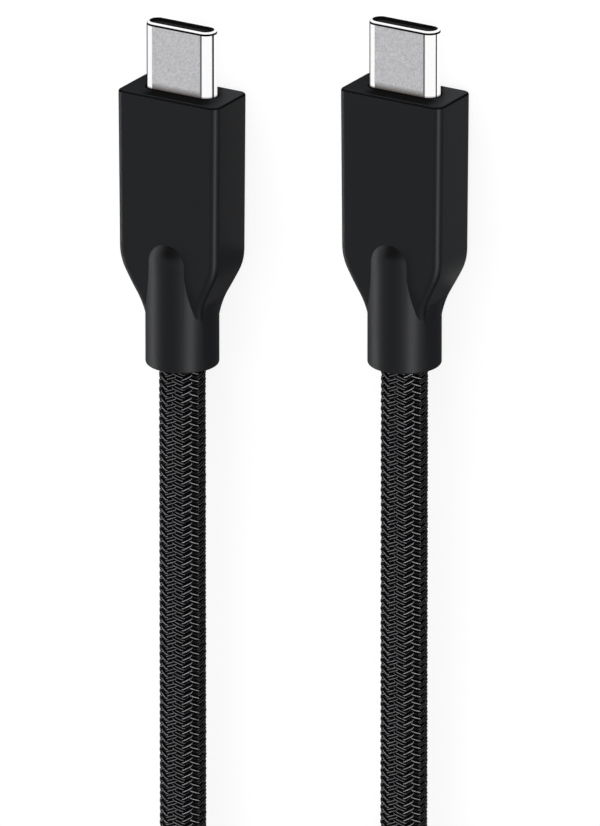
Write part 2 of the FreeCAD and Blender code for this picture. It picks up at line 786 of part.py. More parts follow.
for side, place in PLUGS.items():
    make_shell(side, place)
    make_carrier(side, place)
    make_contacts(side, place, "upper", 1)
    make_contacts(side, place, "lower", -1)
    make_latch(side, place)
    make_ground_spring(side, place, "upper", 1)
    make_ground_spring(side, place, "lower", -1)
    make_card(side, place)
    make_can(side, place, "upper", 1)
    make_can(side, place, "lower", -1)
    make_cord_end(side, place)
    make_ferrule(side, place)
    make_inner_mould(side, place)
    make_overmould(side, place)

# The cord between the two plugs


def corner_arc(start, corner, end):
    """The arc that leaves start towards corner and reaches end, with equal legs."""
    middle = (start + end) / 2
    chord = (end - start).Length / 2
    leg = (corner - start).Length
    turn = math.acos(min(1.0, chord / leg))
    towards = (corner - middle).normalize()
    return Part.Arc(start, middle + towards * (chord * math.tan(turn / 2)), end).toShape()


def biarc(start, start_way, end, end_way):
    """Two arcs with one tangent between them, from a point and direction to another."""
    across = end - start
    ways = start_way + end_way
    spare = 2 * (1 - start_way.dot(end_way))
    along = across.dot(ways)
    leg = (math.sqrt(along * along + spare * across.dot(across)) - along) / spare
    first = start + start_way * leg
    second = end - end_way * leg
    joint = (first + second) / 2
    return [corner_arc(start, first, joint), corner_arc(joint, second, end)]


def tube(path, start, way):
    """A round cord along a wire, and its volume compared with section times length."""
    section = Part.Wire([Part.makeCircle(cord_diameter.number / 2, start, way)])
    shell = Part.BRepOffsetAPI.MakePipeShell(path)
    shell.add(section)
    shell.build()
    shell.makeSolid()
    solid = shell.shape()
    expected = math.pi * cord_diameter.number ** 2 / 4 * path.Length
    return solid, solid.Volume / expected


# The coil is made in spans of just under a quarter turn, an even number of them. It starts
# and ends on its near side, as far left of the middle as right of it.
HALF = coil_turns.number / 2
SPANS = 2 * math.ceil(2 * coil_turns.number)
STEP = coil_turns.number / SPANS
PART_TURN = coil_turns.number - math.floor(coil_turns.number)
COIL_START = math.pi / 2 + math.pi * (1 - PART_TURN)
low_layer = (tie_thickness + tie_clearance + cord_diameter / 2).number
high_layer = low_layer + coil_pitch.number


def coil_height(turn):
    """Height of the coil's middle line: lower layer, climb at the middle, upper layer."""
    if turn < STEP:
        return low_layer + coil_entry_drop.number * (1 - turn / STEP) ** 2
    if turn > coil_turns.number - STEP:
        share = (turn - coil_turns.number + STEP) / STEP
        return high_layer - coil_exit_drop.number * share**2
    climb = min(max((turn - HALF) / STEP, -1.0), 1.0)
    rise = coil_pitch.number / 2
    middle = (low_layer + high_layer) / 2
    if climb < 0:
        return low_layer + rise * (1 + climb) ** 2
    return middle + rise * (1 - (1 - climb) ** 2) if climb > 0 else middle


def coil_point(turn):
    """A point of the coil's middle line, which spirals in and then out again."""
    inner = coil_radius.number - coil_pitch.number * HALF
    radius = inner + coil_pitch.number * abs(turn - HALF)
    angle = COIL_START + 2 * math.pi * turn
    flat = V(math.cos(angle), math.sin(angle), 0) * radius
    return flat + V(0, coil_centre_y.number, coil_height(turn))


def coil_way(turn):
    """The direction of the coil's middle line."""
    small = 1e-4
    before = max(turn - small, 0)
    after = min(turn + small, coil_turns.number)
    return (coil_point(after) - coil_point(before)).normalize()


def coil_path():
    """A biarc for each span, with a straight end of one diameter at either end."""
    start = coil_point(0)
    end = coil_point(coil_turns.number)
    first = start - coil_way(0) * cord_diameter.number
    last = end + coil_way(coil_turns.number) * cord_diameter.number
    edges = [Part.LineSegment(first, start).toShape()]
    for span in range(SPANS):
        here = span * STEP
        there = here + STEP
        edges += biarc(coil_point(here), coil_way(here), coil_point(there), coil_way(there))
    edges.append(Part.LineSegment(end, last).toShape())
    return Part.Wire(edges), first, last


def least_gap(path):
    """The smallest space between turns, from points along the middle line."""
    count = int(path.Length)
    points = path.discretize(Number=count)
    apart = int(3 * cord_diameter.number)
    gap = min(
        (here - there).Length
        for index, here in enumerate(points)
        for there in points[index + apart :]
    )
    return gap - cord_diameter.number


def route_path(points):
    """Straight runs joined by arcs, and the arcs' radii."""
    edges = []
    radii = []
    here = points[0]
    for before, corner, after in zip(points, points[1:], points[2:]):
        way_in = (corner - before).normalize()
        way_out = (after - corner).normalize()
        leg = CORNER_SHARE * min((corner - before).Length, (after - corner).Length)
        start = corner - way_in * leg
        end = corner + way_out * leg
        edges.append(Part.LineSegment(here, start).toShape())
        edges.append(corner_arc(start, corner, end))
        turn = way_in.getAngle(way_out)
        radii.append(leg / math.tan(turn / 2))
        here = end
    edges.append(Part.LineSegment(here, points[-1]).toShape())
    return Part.Wire(edges), radii


def make_cord(name, path, start, way):
    """One stretch of the cord as a node, and its length."""
    solid, match = tube(path, start, way)
    print(f"{name}: {path.Length:.1f} mm long, volume {match:.4f} of section times length")
    stretch = doc.addObject("Part::Feature", name)
    stretch.Shape = solid
    keep(stretch, name)
    return path.Length


def exit_point(side):
    """Where the cord leaves the collar of a plug."""
    x, y, z = PLUGS[side]
    return V(x.number, (y - plug_length).number, z.number)


coil_wire, coil_first, coil_last = coil_path()
left_exit = exit_point("left")
right_exit = exit_point("right")

# Points between the collar and the coil, chosen by hand; each lead leaves its collar
# straight, turns outwards and reaches the coil in line with its end.
LEFT_ROUTE = [V(left_exit.x, -78.2, left_exit.z)]
RIGHT_ROUTE = [V(right_exit.x, -71.8, right_exit.z), V(right_exit.x, -78.6, 5.15)]
left_turn_in = coil_first - coil_way(0) * coil_lead_in.number
right_turn_in = coil_last + coil_way(coil_turns.number) * coil_lead_in.number
left_points = [left_exit] + LEFT_ROUTE + [left_turn_in, coil_first]
right_points = [right_exit] + RIGHT_ROUTE + [right_turn_in, coil_last]

total = 0
for name, points in (("left_cord", left_points), ("right_cord", right_points)):
    lead, lead_radii = route_path(points)
    print(f"{name}: arc radii", ", ".join(f"{radius:.1f}" for radius in lead_radii))
    total += make_cord(name, lead, points[0], points[1] - points[0])
total += make_cord("cord_coil", coil_wire, coil_first, coil_way(0))
print(f"cord_coil: least gap between turns {least_gap(coil_wire):.2f} mm")
print(f"cord between the collars {total:.0f} mm, over both plugs {total + 2 * plug_length.number:.0f} mm")


def make_tie():
    """Flat strap closed round all the turns, at the near side of the coil."""
    near_turn = (2.5 * math.pi - COIL_START) / (2 * math.pi)
    outer = coil_radius - coil_pitch * near_turn
    inner = outer - coil_pitch * (math.floor(HALF - near_turn))
    room = cord_diameter / 2 + tie_side_clearance
    height = coil_pitch + cord_diameter + tie_clearance * 2
    body = new_body("coil_tie")

    def ring(grow):
        """The strap's inside outline, grown by a thickness."""
        near = coil_centre_y + outer + room + grow
        far = coil_centre_y + inner - room - grow
        low = tie_thickness - grow
        high = tie_thickness + height + grow
        return [(far, low), (near, low), (near, high), (far, high)]

    outside = new_sketch(body, "tie_outside", "YZ_Plane")
    draw_polygon(outside, ring(tie_thickness))
    pad(body, "tie_pad", outside, tie_width, middle=True)

    def is_corner(edge):
        """An edge across the strap."""
        return edge.BoundBox.YLength < TINY and edge.BoundBox.ZLength < TINY

    fillet(body, "tie_outer_corners", tie_corner_radius, is_corner)
    inside = new_sketch(body, "tie_inside", "YZ_Plane")
    draw_polygon(inside, ring(as_length(0)))
    pocket(body, "tie_opening", inside, tie_width * CUT_THROUGH, middle=True)
    keep(body, "coil_tie")


make_tie()
doc.recompute()

for thing in doc.Objects:
    if "Invalid" in thing.State or "Error" in thing.State:
        raise RuntimeError(f"{thing.Name} failed: {thing.State}")
    base = None
    if thing.isDerivedFrom("PartDesign::Pocket"):
        base = thing.BaseFeature
    if thing.isDerivedFrom("Part::Cut"):
        base = thing.Base
    if base and thing.Shape.Volume > base.Shape.Volume - TINY:
        raise RuntimeError(f"{thing.Name} cuts nothing")
for node in nodes:
    if node.Shape.isNull() or not node.Shape.isValid() or not node.Shape.Solids:
        raise RuntimeError(f"{node.Label} has no valid solid")

os.makedirs("parts", exist_ok=True)
for node in nodes:
    node.Shape.exportStep(f"parts/{node.Label}.step")
print(len(nodes), "nodes")
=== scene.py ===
"""A braided charging cable with a reversible plug on each end.

The pieces are dressed around the construction model: +Y is the way the plugs point, +X runs
across them, +Z is up, and all sizes are in metres unless a name says millimetres.
"""

from __future__ import annotations

import json
import logging
import math
import sys
from dataclasses import dataclass, field
from enum import Enum

import bmesh
import bpy
from mathutils import Matrix, Vector
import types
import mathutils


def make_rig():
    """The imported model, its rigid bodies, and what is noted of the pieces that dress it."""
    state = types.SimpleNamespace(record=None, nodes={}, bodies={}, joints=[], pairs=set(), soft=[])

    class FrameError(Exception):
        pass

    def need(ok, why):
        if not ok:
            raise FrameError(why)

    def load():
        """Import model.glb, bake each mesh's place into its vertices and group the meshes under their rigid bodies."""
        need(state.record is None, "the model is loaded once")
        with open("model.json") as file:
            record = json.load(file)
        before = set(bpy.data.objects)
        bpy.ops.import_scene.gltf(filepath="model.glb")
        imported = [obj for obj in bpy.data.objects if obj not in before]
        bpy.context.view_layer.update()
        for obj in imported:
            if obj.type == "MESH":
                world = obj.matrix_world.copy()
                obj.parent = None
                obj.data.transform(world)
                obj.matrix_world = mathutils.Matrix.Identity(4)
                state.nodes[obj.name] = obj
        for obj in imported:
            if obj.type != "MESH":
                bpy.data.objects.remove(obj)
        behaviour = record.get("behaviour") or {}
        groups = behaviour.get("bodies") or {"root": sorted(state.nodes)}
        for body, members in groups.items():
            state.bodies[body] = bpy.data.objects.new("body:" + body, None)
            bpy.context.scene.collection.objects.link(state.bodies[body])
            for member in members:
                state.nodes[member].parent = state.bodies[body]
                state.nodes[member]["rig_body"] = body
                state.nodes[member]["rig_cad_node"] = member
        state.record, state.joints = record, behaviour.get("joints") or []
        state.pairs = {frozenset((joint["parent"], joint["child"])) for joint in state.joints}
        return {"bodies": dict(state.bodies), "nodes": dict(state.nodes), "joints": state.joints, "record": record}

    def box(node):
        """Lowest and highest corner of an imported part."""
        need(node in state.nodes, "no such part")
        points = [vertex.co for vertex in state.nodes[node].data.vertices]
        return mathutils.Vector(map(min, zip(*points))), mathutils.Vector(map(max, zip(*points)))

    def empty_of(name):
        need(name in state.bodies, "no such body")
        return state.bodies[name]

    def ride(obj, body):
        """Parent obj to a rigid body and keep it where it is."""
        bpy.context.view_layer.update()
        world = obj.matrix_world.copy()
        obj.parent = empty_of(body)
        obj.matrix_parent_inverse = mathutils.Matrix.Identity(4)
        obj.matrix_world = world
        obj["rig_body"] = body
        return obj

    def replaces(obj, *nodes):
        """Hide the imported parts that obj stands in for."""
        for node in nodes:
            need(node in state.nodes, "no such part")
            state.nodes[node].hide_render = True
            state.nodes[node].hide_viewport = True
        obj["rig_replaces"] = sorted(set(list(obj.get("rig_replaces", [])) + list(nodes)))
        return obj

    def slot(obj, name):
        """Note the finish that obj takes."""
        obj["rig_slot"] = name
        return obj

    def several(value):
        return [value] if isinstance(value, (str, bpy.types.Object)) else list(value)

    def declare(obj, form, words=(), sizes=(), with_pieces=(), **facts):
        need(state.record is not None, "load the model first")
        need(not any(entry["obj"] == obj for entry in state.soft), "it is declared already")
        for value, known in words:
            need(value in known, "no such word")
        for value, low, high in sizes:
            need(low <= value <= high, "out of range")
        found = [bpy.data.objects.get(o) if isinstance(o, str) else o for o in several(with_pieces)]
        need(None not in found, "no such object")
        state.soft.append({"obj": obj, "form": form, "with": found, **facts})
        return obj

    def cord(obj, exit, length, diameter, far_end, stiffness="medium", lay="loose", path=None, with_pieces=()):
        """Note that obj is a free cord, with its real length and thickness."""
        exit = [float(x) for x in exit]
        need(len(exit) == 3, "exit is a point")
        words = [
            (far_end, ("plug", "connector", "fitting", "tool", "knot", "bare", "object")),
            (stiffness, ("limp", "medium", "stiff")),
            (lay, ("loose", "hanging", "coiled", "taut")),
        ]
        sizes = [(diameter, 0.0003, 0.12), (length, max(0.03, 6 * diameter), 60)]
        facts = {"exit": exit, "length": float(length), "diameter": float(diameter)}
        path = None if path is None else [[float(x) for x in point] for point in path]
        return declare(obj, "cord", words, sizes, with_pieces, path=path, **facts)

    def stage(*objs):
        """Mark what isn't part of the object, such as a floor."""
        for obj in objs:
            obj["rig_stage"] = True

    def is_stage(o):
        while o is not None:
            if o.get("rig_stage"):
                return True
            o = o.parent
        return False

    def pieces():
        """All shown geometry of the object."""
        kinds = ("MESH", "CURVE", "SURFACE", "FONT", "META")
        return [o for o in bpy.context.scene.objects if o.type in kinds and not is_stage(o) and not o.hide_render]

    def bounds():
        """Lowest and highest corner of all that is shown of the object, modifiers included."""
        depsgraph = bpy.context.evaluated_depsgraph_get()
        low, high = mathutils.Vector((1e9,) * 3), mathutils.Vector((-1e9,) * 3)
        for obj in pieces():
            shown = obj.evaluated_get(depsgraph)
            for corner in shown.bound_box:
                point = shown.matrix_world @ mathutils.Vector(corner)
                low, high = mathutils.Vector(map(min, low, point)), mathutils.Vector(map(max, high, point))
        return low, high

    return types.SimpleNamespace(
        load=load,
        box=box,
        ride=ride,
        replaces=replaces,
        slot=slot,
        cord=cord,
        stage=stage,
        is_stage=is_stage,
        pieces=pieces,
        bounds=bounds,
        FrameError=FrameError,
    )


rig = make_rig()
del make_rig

log = logging.getLogger("charging_cable")

MM = 0.001
BODY = "root"
SIZE_FILE = "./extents.json"
# Corners of a construction node that are this close, in metres, become one.
JOIN_REACH = 1e-7
# Faces of a construction node that lie this flat to each other become one.
FLAT_DEGREES = 0.3
# An edge of the moulding sharper than this stays crisp.
CREASE_DEGREES = 28.0

# Node types that are used often
MATH = "ShaderNodeMath"
VECTOR = "ShaderNodeVectorMath"
RANGE = "ShaderNodeMapRange"
SPLIT = "ShaderNodeSeparateXYZ"
JOIN = "ShaderNodeCombineXYZ"
UV_MAP = "ShaderNodeUVMap"
MIX = "ShaderNodeMix"
PLACE = "GeometryNodeInputPosition"

Tree = bpy.types.NodeTree
Socket = bpy.types.NodeSocket
Object = bpy.types.Object
Material = bpy.types.Material
Mesh = bpy.types.Mesh
Span = tuple[float, float]
Point = tuple[float, float, float]


def linear(code: str) -> tuple[float, float, float, float]:
    """Turn an sRGB hex colour into a linear colour with alpha 1.

    Args:
        code: Six hex digits with a leading hash sign.

    Returns:
        Red, green, blue and alpha.
    """
    shares = [int(code[i : i + 2], 16) / 255 for i in (1, 3, 5)]
    red, green, blue = (
        share / 12.92 if share <= 0.04045 else ((share + 0.055) / 1.055) ** 2.4 for share in shares
    )
    return red, green, blue, 1.0


def ramp(value: float, start: float, end: float) -> float:
    """Rise smoothly from 0 at start to 1 at end."""
    share = min(max((value - start) / (end - start), 0.0), 1.0)
    return share * share * (3 - 2 * share)


def add_node(
    tree: Tree,
    kind: str,
    inputs: dict[str | int, object] | None = None,
    **settings: object,
) -> bpy.types.NodeOutputs:
    """Add a node with its settings, values and links.

    Args:
        tree: The tree that gets the node.
        kind: The node's type name.
        inputs: For each input, by name or number, a value or the output that feeds it.
        settings: The node's own properties.

    Returns:
        The new node's outputs.
    """
    node = tree.nodes.new(kind)
    for name, value in settings.items():
        setattr(node, name, value)
    for name, value in (inputs or {}).items():
        if isinstance(value, Socket):
            tree.links.new(value, node.inputs[name])
        else:
            node.inputs[name].default_value = value
    return node.outputs


def new_material(name: str) -> Material:
    """Make an empty node material.

    Args:
        name: The material's name.

    Returns:
        The new material.
    """
    material = bpy.data.materials.new(name)
    material.use_nodes = True
    material.node_tree.nodes.clear()
    return material


def add_surface(
    tree: Tree,
    colour: Socket,
    height: Socket,
    depth_mm: float,
    gloss: dict[str, float],
) -> None:
    """Close a material with its colour, its relief and its gloss.

    Args:
        tree: The material's tree.
        colour: Output with the colour.
        height: Output with the relief.
        depth_mm: Depth of the relief in millimetres for a height of 1.
        gloss: Plain values of the shader, by name.
    """
    relief = {"Height": height, "Strength": 1.0, "Distance": depth_mm * MM}
    normal = add_node(tree, "ShaderNodeBump", relief)["Normal"]
    shader = add_node(tree, "ShaderNodeBsdfPrincipled", {"Base Color": colour, "Normal": normal, **gloss})
    add_node(tree, "ShaderNodeOutputMaterial", {"Surface": shader["BSDF"]})


@dataclass(frozen=True)
class Finish:
    """One surface of the real cable, with fine grain from its making.

    Attributes:
        name: What the real material is and how it was made.
        colour: Main colour as sRGB hex.
        second: Colour of the darker or lighter patches as sRGB hex.
        grain_mm: Size of the grain in millimetres.
        grain_height_mm: Height of the grain in millimetres.
        roughness: Roughness of the surface.
        metallic: 1 for bare metal, 0 for anything else.
        specular: Specular level; 0.5 is a plain dielectric.
        sheen: Weight of the soft sheen of fibre or rubber.
        root_mm: Height over which the surface darkens towards its root, as painted shade and a painted reflection of
            the dark moulding; 0 for none.
        root_shade: Colour of that painted shade and reflection as sRGB hex.
        foot_mm: Height of the nearly black line at the very root, a painted contact shadow.
        foot_shade: Colour of that painted shadow as sRGB hex.
        gathered: Colour of the painted shade on the moulding as sRGB hex; empty for none.
        strip_over_mm: Where the shell's painted shadow on the front face sets in, over the plug's axis.
        strip_beside_mm: Where that painted shadow ends beside its middle, from none to full.
        strip_share: How dark the painted shadow is at most, as a share of the darkest.
    """

    name: str
    colour: str
    second: str
    grain_mm: float
    grain_height_mm: float
    roughness: float
    metallic: float = 0.0
    specular: float = 0.5
    sheen: float = 0.0
    root_mm: float = 0.0
    root_shade: str = "#4a3c32"
    foot_mm: float = 0.08
    foot_shade: str = "#050404"
    gathered: str = ""
    strip_over_mm: Span = (1.0, 1.3)
    strip_beside_mm: Span = (4.4, 3.3)
    strip_share: float = 0.9

    def darken_root(self, tree: Tree, colour: Socket) -> Socket:
        """Paint shade and a reflection of the dark moulding onto the shell towards its root, by its own map of the
        height over the root.

        Args:
            tree: The material's tree.
            colour: Output with the colour so far.

        Returns:
            The output with the darkened colour.
        """
        along = add_node(tree, UV_MAP, uv_map="along")[0]
        height = add_node(tree, SPLIT, {0: along})["Y"]
        for shade, reach in ((self.root_shade, self.root_mm), (self.foot_shade, self.foot_mm)):
            clear = add_node(tree, RANGE, {"Value": height, "From Max": reach})[0]
            mixed = {"Factor": clear, 6: linear(shade), 7: colour}
            colour = add_node(tree, MIX, mixed, data_type="RGBA")[2]
        return colour

    def darken_gathered(self, tree: Tree, colour: Socket) -> Socket:
        """Paint shade on the moulding where its own maps say: on the dome's nose, down the folds, and as the shell's
        shadow on the front face.

        Args:
            tree: The material's tree.
            colour: Output with the colour so far.

        Returns:
            The output with the darkened colour.
        """
        # Painted shade on the nose and down the folds, by the moulding's own map
        coat = add_node(tree, UV_MAP, uv_map="coat")[0]
        share = add_node(tree, SPLIT, {0: coat})["X"]
        # The shell's painted shadow on the front face: a strip over the shell that ends beside it
        front = add_node(tree, UV_MAP, uv_map="front")[0]
        place = add_node(tree, SPLIT, {0: front})
        start, full = self.strip_over_mm
        rise = {"Value": place["Y"], "From Min": start, "From Max": full, "To Max": self.strip_share}
        over = add_node(tree, RANGE, rise)[0]
        aside = add_node(tree, MATH, {0: place["X"]}, operation="ABSOLUTE")[0]
        start, full = self.strip_beside_mm
        beside = add_node(tree, RANGE, {"Value": aside, "From Min": start, "From Max": full})[0]
        strip = add_node(tree, MATH, {0: over, 1: beside}, operation="MULTIPLY")[0]
        most = add_node(tree, MATH, {0: share, 1: strip}, operation="MAXIMUM")[0]
        mixed = {"Factor": most, 6: colour, 7: linear(self.gathered)}
        return add_node(tree, MIX, mixed, data_type="RGBA")[2]

    def build(self) -> Material:
        """Build the material.

        Returns:
            The finished material.
        """
        material = new_material(self.name)
        tree = material.node_tree
        where = add_node(tree, "ShaderNodeTexCoord")["Object"]
        noise = {"Vector": where, "Scale": 1 / (self.grain_mm * MM), "Detail": 2.0}
        grain = add_node(tree, "ShaderNodeTexNoise", noise)["Fac"]
        mixed = {"Factor": grain, 6: linear(self.colour), 7: linear(self.second)}
        colour = add_node(tree, MIX, mixed, data_type="RGBA")[2]
        # Painted shade and reflection towards a shell's root, then painted shade and shadow on the moulding
        if self.root_mm:
            colour = self.darken_root(tree, colour)
        if self.gathered:
            colour = self.darken_gathered(tree, colour)
        gloss = {
            "Roughness": self.roughness,
            "Metallic": self.metallic,
            "Specular IOR Level": self.specular,
            "Sheen Weight": self.sheen,
        }
        add_surface(tree, colour, grain, self.grain_height_mm, gloss)
        return material


# Soft-touch coated moulding: nearly black and matt, so only the widest lights show on it; its near-black second colour
# is painted shade on the dome's nose and down the folds, and the shell's painted shadow on the front face.
SOFT_TOUCH = Finish(
    "soft_touch_moulding", "#17181a", "#1a1b1d", 0.09, 0.003, 0.46, specular=0.035, gathered="#030303"
)
# The same soft-touch material along the moulding's front edge, darker as painted shade.
COATED_EDGE = Finish("soft_touch_front_edge", "#0b0b0c", "#0e0e0f", 0.09, 0.003, 0.6, specular=0.0)
# Bead-blasted stainless steel: pale grey with a fine sparkle from the dents of the beads; towards its root, painted
# shade and a painted reflection of the moulding.
BLASTED_STEEL = Finish("bead_blasted_steel", "#f8f8fa", "#b6b6ba", 0.2, 0.06, 0.42, 1.0, root_mm=0.8)
# Polished stainless steel of the round ends: mirror bright; towards its root, painted shade and a painted reflection
# of the moulding.
POLISHED_STEEL = Finish("polished_steel", "#fdfdfd", "#fafafb", 0.6, 0.0002, 0.06, 1.0, root_mm=0.25)
# Black for the lower part of the rolled rim, as a painted dark reflection, and for the flange round the shell's root,
# as a painted contact shadow.
ROLLED_EDGE = Finish("rolled_edge_of_shell", "#060607", "#0a0a0b", 0.3, 0.001, 0.6, specular=0.0)
# Inside of the drawn shell: not polished, and near black as painted shade inside the mouth.
DRAWN_STEEL = Finish("drawn_steel_inside", "#121213", "#0b0b0c", 0.2, 0.004, 0.5, metallic=1.0)
# Liquid crystal polymer of the contact carrier: dark, slightly glossy from the mould.
CARRIER = Finish("moulded_carrier_polymer", "#050506", "#080809", 0.2, 0.003, 0.5, specular=0.02)
# Gold plate on the copper alloy of the contacts: warm, bright and smooth.
GOLD = Finish("gold_plated_contact", "#e6b866", "#d9a44e", 0.3, 0.001, 0.25, metallic=1.0)
# Stamped spring steel of the latch plate and the ground springs: clean pale metal.
SPRING_STEEL = Finish("stamped_spring_steel", "#c9c8c4", "#b5b4b0", 0.25, 0.002, 0.3, metallic=1.0)
# Tin plate on the shield can: soft grey with faint mottling.
TIN_PLATE = Finish("tin_plated_can", "#c8c7c0", "#b3b2ab", 0.5, 0.003, 0.35, metallic=1.0)
# Solder mask over glass fibre laminate: deep green and glossy.
SOLDER_MASK = Finish("solder_mask_laminate", "#0f4a2b", "#0c3d23", 0.35, 0.004, 0.3)
# Epoxy chip package, moulded matt: charcoal with a fine tooth.
EPOXY = Finish("moulded_epoxy_package", "#17171a", "#1e1e21", 0.15, 0.004, 0.55)
# Fired ceramic of the capacitors: tan and slightly mottled.
CERAMIC = Finish("fired_ceramic", "#a8855a", "#94734b", 0.2, 0.003, 0.4)
# Extruded wire insulation: smooth, even colour with a soft gloss.
RED_INSULATION = Finish("red_wire_insulation", "#a3191b", "#8e1416", 0.5, 0.002, 0.35)
PALE_INSULATION = Finish("pale_wire_insulation", "#e4e2dc", "#d8d6cf", 0.5, 0.002, 0.35)
# Low-pressure polyethylene moulding round the ferrule: milky and waxy.
INNER_MOULDING = Finish("milky_inner_moulding", "#dcdad2", "#cfccc2", 0.8, 0.004, 0.5)
# Drawn brass ferrule: yellow metal with a satin gloss.
BRASS = Finish("drawn_brass", "#c9a65a", "#b8934a", 0.3, 0.002, 0.3, metallic=1.0)
# Braid seen in the gaps between yarns and inside the collar: black and dull.
UNDER_BRAID = Finish("black_under_braid", "#040405", "#070708", 0.3, 0.02, 0.8, specular=0.005)
# Hook and loop strap: short black pile that takes the light softly.
STRAP = Finish("loop_pile_strap", "#08080a", "#161618", 0.16, 0.06, 0.85, specular=0.1, sheen=0.08)


@dataclass(frozen=True)
class YarnFinish:
    """Black polyester yarn: filaments side by side, with a painted highlight along the crest.

    Attributes:
        name: What the real material is and how it was made.
        flank: Colour of a yarn's sides as sRGB hex.
        crest: Colour of the painted highlight along its crest as sRGB hex.
        crest_share: Half the width of the painted highlight, as a share of the yarn.
        dust_mm: Size of the patches where the painted highlight is duller.
        dust_span: Where the patches begin and end in their noise.
        dust_least: Brightness of the dullest painted highlight, as a share.
        filaments: Filaments that show across one yarn.
        filament_height_mm: How far the filaments stand out.
        roughness: Roughness of the filaments.
        specular: Specular level of the filaments.
    """

    name: str = "black_polyester_yarn"
    flank: str = "#030304"
    crest: str = "#c2c2c6"
    crest_share: float = 0.12
    dust_mm: float = 0.5
    dust_span: Span = (0.3, 0.7)
    dust_least: float = 0.55
    filaments: float = 5.0
    filament_height_mm: float = 0.006
    roughness: float = 0.4
    specular: float = 0.008

    def build(self) -> Material:
        """Build the material.

        Returns:
            The finished material.
        """
        material = new_material(self.name)
        tree = material.node_tree
        fibre = add_node(tree, UV_MAP, uv_map="fibre")[0]
        parts = add_node(tree, SPLIT, {0: fibre})
        # Painted highlight along the crest, dimmed in patches and by the yarn's own share in its map
        off_crest = add_node(tree, MATH, {0: parts["Y"], 1: 0.5}, operation="SUBTRACT")[0]
        aside = add_node(tree, MATH, {0: off_crest}, operation="ABSOLUTE")[0]
        fall = {"Value": aside, "From Max": self.crest_share, "To Min": 1.0, "To Max": 0.0}
        crest = add_node(tree, RANGE, fall, interpolation_type="SMOOTHSTEP")[0]
        where = add_node(tree, "ShaderNodeTexCoord")["Object"]
        noise = {"Vector": where, "Scale": 1 / (self.dust_mm * MM), "Detail": 1.0}
        dust = add_node(tree, "ShaderNodeTexNoise", noise)["Fac"]
        low, high = self.dust_span
        patches = {"Value": dust, "From Min": low, "From Max": high, "To Min": self.dust_least}
        bright = add_node(tree, RANGE, patches)[0]
        for share in (crest, parts["X"]):
            bright = add_node(tree, MATH, {0: bright, 1: share}, operation="MULTIPLY")[0]
        mixed = {"Factor": bright, 6: linear(self.flank), 7: linear(self.crest)}
        colour = add_node(tree, MIX, mixed, data_type="RGBA")[2]
        half = 0.5 / self.filaments
        threads = add_node(tree, MATH, {0: parts["Y"], 1: half}, operation="PINGPONG")[0]
        gloss = {"Roughness": self.roughness, "Specular IOR Level": self.specular}
        add_surface(tree, colour, threads, self.filament_height_mm / half, gloss)
        return material


YARN = YarnFinish()


class Side(Enum):
    """Which end of the cable a plug is."""

    LEFT = "left"
    RIGHT = "right"


class Band(Enum):
    """A band of the shell's section."""

    SIDE = "side"
    # Black: a painted dark reflection under the rim, and a painted contact shadow on the flange round the root
    DULL = "dull"
    BRIGHT = "bright"
    INSIDE = "inside"


class Role(Enum):
    """What a lamp does: light surfaces softly, or show in gloss as a bright strip."""

    FILL = "fill"
    SHINE = "shine"


def plain_object(mesh: Mesh) -> Object:
    """Put a mesh in the scene as an object of the same name at the origin.

    Args:
        mesh: The mesh.

    Returns:
        The new object.
    """
    piece = bpy.data.objects.new(mesh.name, mesh)
    bpy.context.scene.collection.objects.link(piece)
    return piece


def outward_mesh(name: str, corners: list[Point], faces: list[tuple[int, ...]]) -> Mesh:
    """Make a closed mesh that is shaded smooth, with its faces turned outwards.

    Args:
        name: The mesh's name.
        corners: Its corners in metres.
        faces: Its faces, by the numbers of their corners.

    Returns:
        The new mesh.
    """
    mesh = bpy.data.meshes.new(name)
    mesh.from_pydata(corners, [], faces)
    shape = bmesh.new()
    shape.from_mesh(mesh)
    bmesh.ops.recalc_face_normals(shape, faces=shape.faces)
    shape.to_mesh(mesh)
    shape.free()
    mesh.shade_smooth()
    return mesh


def rectangle(name: str, across: Span, along: Span, over: float = 0.0) -> Object:
    """Make a flat rectangle.

    Args:
        name: Its name.
        across: Where it begins and ends along X.
        along: Where it begins and ends along Y.
        over: Its height.

    Returns:
        The new object.
    """
    (left, right), (back, front) = across, along
    corners = [(left, back, over), (right, back, over), (right, front, over), (left, front, over)]
    mesh = bpy.data.meshes.new(name)
    mesh.from_pydata(corners, [], [(0, 1, 2, 3)])
    return plain_object(mesh)


def shade_evenly(piece: Object, mode: str = "FACE_AREA", weight: int = 50) -> None:
    """Weigh a piece's shading by its faces and keep its creases.

    Args:
        piece: The piece.
        mode: What the weight goes by.
        weight: How much more a strong face counts; 50 is even.
    """
    even = piece.modifiers.new("even_shading", "WEIGHTED_NORMAL")
    even.mode = mode
    even.weight = weight
    even.keep_sharp = True


def settle(piece: Object, slot: str, *nodes: str) -> Object:
    """Let a piece ride on the body, name its finish and say which nodes it stands for.

    Args:
        piece: The finished piece.
        slot: The record's material slot.
        nodes: Construction nodes that the piece replaces.

    Returns:
        The piece.
    """
    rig.ride(piece, BODY)
    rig.slot(piece, slot)
    piece.visible_glossy = False
    if nodes:
        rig.replaces(piece, *nodes)
    log.info("%s: %d faces", piece.name, len(piece.data.polygons) if piece.type == "MESH" else 0)
    return piece


